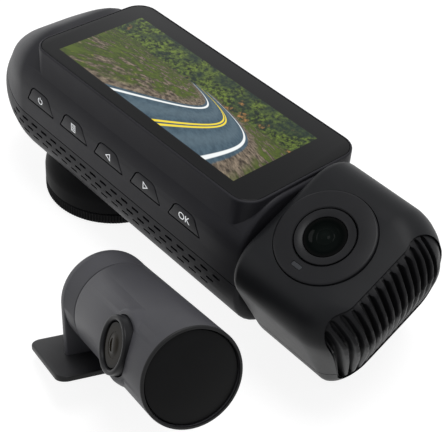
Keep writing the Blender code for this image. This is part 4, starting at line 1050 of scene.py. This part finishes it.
def corner_drop(away):
    """How far the panel's rounded corner cuts in, at a distance from its side."""
    inside = max(0.0, GRILLE_RADIUS - away)
    return GRILLE_RADIUS - math.sqrt(max(0.0, GRILLE_RADIUS ** 2 - inside ** 2))


def along_x(outline, low, high, *edges):
    """An outline in Y and Z drawn along X."""
    turn = Matrix(((0, 0, 1, 0), (1, 0, 0, 0), (0, 1, 0, 0), (0, 0, 0, 1)))
    return moved(plate("along", outline, low, high, *edges), turn)


def head_shells():
    """Lens side and back side of the head, both open for the grille at its end."""
    for side in ("front", "rear"):
        shell = head_form(f"head_{side}", 0.0)
        if side == "front":
            cut(shell, block((0, -LONG, -LONG), (LONG, LONG, HEAD_PART_LINE + GAP / 2)))
            step = in_mm([(10.4, -2.7), (13.1, -2.7)], CABIN_FACE)
            seat = turned("seat", in_mm([(0, 18), (10.4, 18)]) + step + in_mm([(13.1, 24), (0, 24)]))
            own = [moved(seat, shift(CABIN_X))]
        else:
            cut(shell, block((0, -LONG, HEAD_PART_LINE - GAP / 2), (LONG, LONG, LONG)))
            lip = common(head_form("lip", WALL / 2 + 0.1 * MM),
                         block((0, -LONG, HEAD_PART_LINE - MM), (LONG, LONG, HEAD_PART_LINE + MM)))
            join(shell, lip)
            own = screw_wells(HEAD_SCREWS, HEAD_HALF)
        opening = along_x(grille_shape(GRILLE_GAP), -GRILLE_OPENING, 60 * MM)
        bore = drill(9.3 * MM, 47 * MM, 53 * MM)
        cut(shell, head_form("room", WALL), moved(opening, HEAD_TO_GRILLE), moved(bore, ALONG_X), *own)
        settle(shell, HEAD, "cabin_head", head_black, [f"head_{side}_shell"])


def smooth_step(low, high, value):
    share = min(1.0, max(0.0, (value - low) / (high - low)))
    return share * share * (3 - 2 * share)


def grille():
    """End panel: rounded ribs that fan out a little and follow the head's end, with a plain edge."""
    form = moved(head_form("grille_form", GRILLE_SINK), HEAD_TO_GRILLE.inverted())
    (left, right), (low, high) = GRILLE_SIDES, GRILLE_ENDS
    across = GRILLE_GROOVES * 16 + 22
    along = 120
    mid = (left + right) / 2
    points = []
    for i in range(across + 1):
        y = left + (right - left) * i / across
        edge = corner_drop(min(y - left, right - y))
        for j in range(along + 1):
            z = low + edge + (high - low - 2 * edge) * j / along
            _, where, _, _ = form.ray_cast(Vector((60 * MM, y, z)), Vector((-1, 0, 0)))
            slant = max(0.0, GRILLE_SLANT + GRILLE_FAN * y) * min(high - z, GRILLE_TURN)
            groove = (y - mid + slant) / GRILLE_PITCH + (GRILLE_GROOVES - 1) / 2
            nearest = min(GRILLE_GROOVES - 1, max(0, round(groove)))
            off = abs(groove - nearest) * GRILLE_PITCH
            inside = min(high - edge - z, z - low - edge) - GRILLE_MARGIN
            reach = math.hypot(off, max(0.0, GROOVE_END - inside))
            share = 1 - smooth_step(GROOVE_FLOOR, GROOVE_EDGE, reach)
            depth = GROOVE_DEPTH * share if inside > -GROOVE_REACH else 0.0
            points.append((where.x - depth, y, z))
    bpy.data.objects.remove(form, do_unlink=True)
    pick()
    bpy.ops.mesh.primitive_grid_add(x_subdivisions=along, y_subdivisions=across)
    panel = shaped("end_grille", points)
    weld()
    bpy.ops.mesh.normals_make_consistent(inside=False)
    bpy.ops.mesh.extrude_region_move(TRANSFORM_OT_translate={"value": (-GRILLE_THICK, 0, 0)})
    leave_edit()
    # painted shade: the grille wears the darker copy of the head plastic
    settle(panel, HEAD @ HEAD_TO_GRILLE, "cabin_head", rib_black_shaded, ["head_end_grille"],
           crease=50)


def cabin_lens():
    """Raised ring, inner bezel, glass with the lens showing in it, and indicator window."""
    face = CABIN_FACE
    low = face - 2.4 * MM
    ring = turned("cabin_ring", in_mm([(8.0, -0.25), (8.25, 0), (12.35, 0), (12.6, -0.06), (12.82, -0.22),
                                       (12.9, -0.5), (12.9, -2.4), (8.0, -2.4)], face), 96)
    spot = rounded(-1.58 * MM, 1.58 * MM, -9.9 * MM - 0.68 * MM, -9.9 * MM + 0.68 * MM, 0.5 * MM)
    cut(ring, plate("spot", spot, low - MM, face + MM))
    settle(ring, CABIN, "cabin_head", ring_black, ["cabin_lens_ring"])
    window = plate("indicator_window", rounded(-1.5 * MM, 1.5 * MM, -10.5 * MM, -9.3 * MM, 0.45 * MM),
                   face - 1.9 * MM, face, edge_high=0.12 * MM)
    settle(window, CABIN, "cabin_head", indicator, ["cabin_indicator"])
    bezel = turned("cabin_bezel", in_mm([(5.5, -0.55), (5.62, -0.32), (5.9, -0.18), (7.3, -0.02), (7.55, -0.02),
                                         (7.68, -0.15), (7.68, -2.4), (5.5, -2.4)], face), 96)
    settle(bezel, CABIN, "cabin_head", ring_black, ["cabin_lens_bezel"])
    glass = turned("cabin_lens", in_mm([
        (0, -1.4), (5.42, -1.4), (5.42, -0.5), (5.3, -0.4), (3.5, -0.4), (3.4, -0.46), (2.3, -0.46),
        (2.15, -0.4), (1.95, -0.46), (0.95, -0.46), (0.85, -0.4), (0, -0.4)], face))
    settle(glass, CABIN, "cabin_head", cabin_glass, ["cabin_lens_glass"])


# Rear camera

def rear_tube():
    """Tube with a lens boss that swells out of its side."""
    radius, back = TUBE_RADIUS, -TUBE_LENGTH
    profile = [(11.4 * MM, 0), (radius - 0.45 * MM, 0), (radius - 0.2 * MM, -0.06 * MM),
               (radius - 0.05 * MM, -0.22 * MM), (radius, -0.5 * MM), (radius, back + 0.3 * MM),
               (radius - 0.1 * MM, back + 0.1 * MM), (radius - 0.3 * MM, back)]
    profile += in_mm([(3.7, 0), (3.7, 1.8), (10.3, 1.8)], back) + in_mm([(10.3, -2.4), (11.4, -2.4)])
    tube = turned("tube", profile, 128)
    moved(tube, ALONG_X)
    boss = turned("boss", in_mm([(0, 3), (9.9, 3), (9.7, 6.4), (9.3, 8), (8.95, 9.1), (8.6, 9.9), (8.3, 10.45),
                                 (8, 10.8), (7.7, 10.9), (0, 10.9)]), 96)
    join(tube, moved(boss, REAR_TO_LENS))
    inside = in_mm([(0, 1.8), (10.3, 1.8)], back) + in_mm([(10.3, -2.4), (0, -2.4)])
    cut(tube, moved(turned("inside", inside, 128), ALONG_X))
    cut(tube, moved(drill(7.05 * MM, 2 * MM, 16 * MM, 96), REAR_TO_LENS))
    settle(tube, REAR, "rear_camera", rear_grey, ["rear_tube"])
    cap = turned("end_cap", in_mm([(0, -2.1), (11.1, -2.1), (11.1, -0.75), (11.02, -0.58), (10.85, -0.5),
                                   (0, -0.5)]), 96)
    settle(cap, REAR @ ALONG_X, "rear_camera", cap_black, ["rear_end_cap"])


def rear_lens():
    face = LENS_FACE + 0.7 * MM
    profile = in_mm([(5.5, -0.5), (5.6, -0.25), (5.85, -0.05), (6.1, 0), (6.35, 0), (6.62, -0.08),
                     (6.76, -0.25), (6.8, -0.5)], face) + in_mm([(6.8, 8.6), (5.5, 8.6)])
    ring = turned("rear_ring", profile, 96)
    settle(ring, REAR_LENS, "rear_camera", ring_black, ["rear_lens_ring"])
    glass = turned("rear_lens", in_mm([(0, -1), (5.2, -1), (5.2, -0.1), (5.1, 0), (3, 0), (2.9, -0.08),
                                       (1.9, -0.09), (1.8, -0.04), (0, -0.02)], LENS_FACE))
    settle(glass, REAR_LENS, "rear_camera", rear_glass, ["rear_lens_glass"])


def rear_bracket():
    """Collar, arched end wall and foot, with soft edges."""
    front = -TUBE_LENGTH - GAP
    back = front - 10.2 * MM
    collar = turned("bracket", [
        (0, front), (TUBE_RADIUS - 0.3 * MM, front), (TUBE_RADIUS - 0.08 * MM, front - 0.1 * MM),
        (TUBE_RADIUS, front - 0.3 * MM), (TUBE_RADIUS, back + 1.3 * MM), (0, back + 1.3 * MM)], 128)
    moved(collar, ALONG_X)
    arch_radius = 12.25 * MM
    arch = [(arch_radius, -FOOT_DROP - 0.8 * MM)]
    turns = [math.pi * k / 40 for k in range(41)]
    arch += [(arch_radius * math.cos(turn), arch_radius * math.sin(turn)) for turn in turns]
    arch.append((-arch_radius, -FOOT_DROP - 0.8 * MM))
    wall = along_x(arch, back, back + 2.6 * MM, 0.5 * MM, 0.35 * MM)
    mid = back + 1.3 * MM
    outline = rounded(mid - 12.5 * MM, mid + 12.5 * MM, -18.2 * MM, 18.2 * MM, 3 * MM)
    foot = plate("foot", outline, -FOOT_DROP - 1.5 * MM, -FOOT_DROP, 0.2 * MM, 0.45 * MM)
    bore = drill(3.5 * MM, front - 7.3 * MM, front + MM, 48)
    cut(join(collar, wall, foot), moved(bore, ALONG_X))
    # the grey's painted shade makes the foot plate near black
    settle(collar, REAR, "main", rear_grey, ["rear_bracket"])


# Finishes of the CAD pieces that show as they are

KEPT = (
    (steel, "case_screw_1 case_screw_2 case_screw_3 head_screw_1 head_screw_2 screen_carrier"),
    (steel, "usb_socket card_socket friction_washer hub_clip rear_pivot"),
    (circuit_board, "main_board button_board front_camera_board head_board rear_board"),
    (dark_plastic, "speaker rear_camera_socket rear_cable_socket head_hub"),
    (capacitor_sleeve, "back_up_capacitor_1 back_up_capacitor_2"),
    (screen_picture, "screen_panel"),
    (contact_gold, "shoe_contacts"),
    (pad_foam, "rear_pad"),
    (cabin_baffle, "cabin_lens_cell"),
    (rear_baffle, "rear_lens_cell"),
)


def finish_kept():
    for finish, names in KEPT:
        for name in names.split():
            paint(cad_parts[name], finish)


# Floor and light

def floor():
    pick()
    bpy.ops.mesh.primitive_plane_add(size=6)
    ground = named("floor")
    finish = Finish("floor_white", base_color=grey(0.3), roughness=0.9, specular_ior_level=0.0)
    finish.set(emission_color=finish.mix(finish.seen(), grey(0.0), grey(0.88)), emission_strength=1.0)
    paint(ground, finish.material)


def sky():
    world = bpy.data.worlds.new("studio")
    bpy.context.scene.world = world
    nodes = Nodes(world)
    background = nodes.tree.nodes["Background"]
    level = nodes.node("ShaderNodeMapRange", None, {"Value": nodes.seen(), "To Min": 0.3, "To Max": 0.95})
    nodes.plug(background.inputs["Color"], (0.98, 0.99, 1.0))
    nodes.plug(background.inputs["Strength"], level)


def lamp(name, place, size, power):
    data = bpy.data.lights.new(name, "AREA")
    data.shape = "DISK"
    data.size = size
    data.energy = power
    obj = added(name, data)
    obj.location = place
    obj.rotation_euler = (-Vector(place)).to_track_quat("-Z", "Y").to_euler()


front_case()
rear_case()
cover()
for button, centre in zip(BUTTONS, button_centres()):
    key(button, centre)
button_marks()
front_lens()
mount_shoe()
head_shells()
grille()
cabin_lens()
rear_tube()
rear_lens()
rear_bracket()
finish_kept()
floor()
sky()
lamp("key", (0.15, 0.1, 1.15), 0.7, 7.0)
lamp("side", (-0.75, -0.75, 0.6), 0.7, 1.0)

bpy.context.scene.view_settings.view_transform = "Standard"
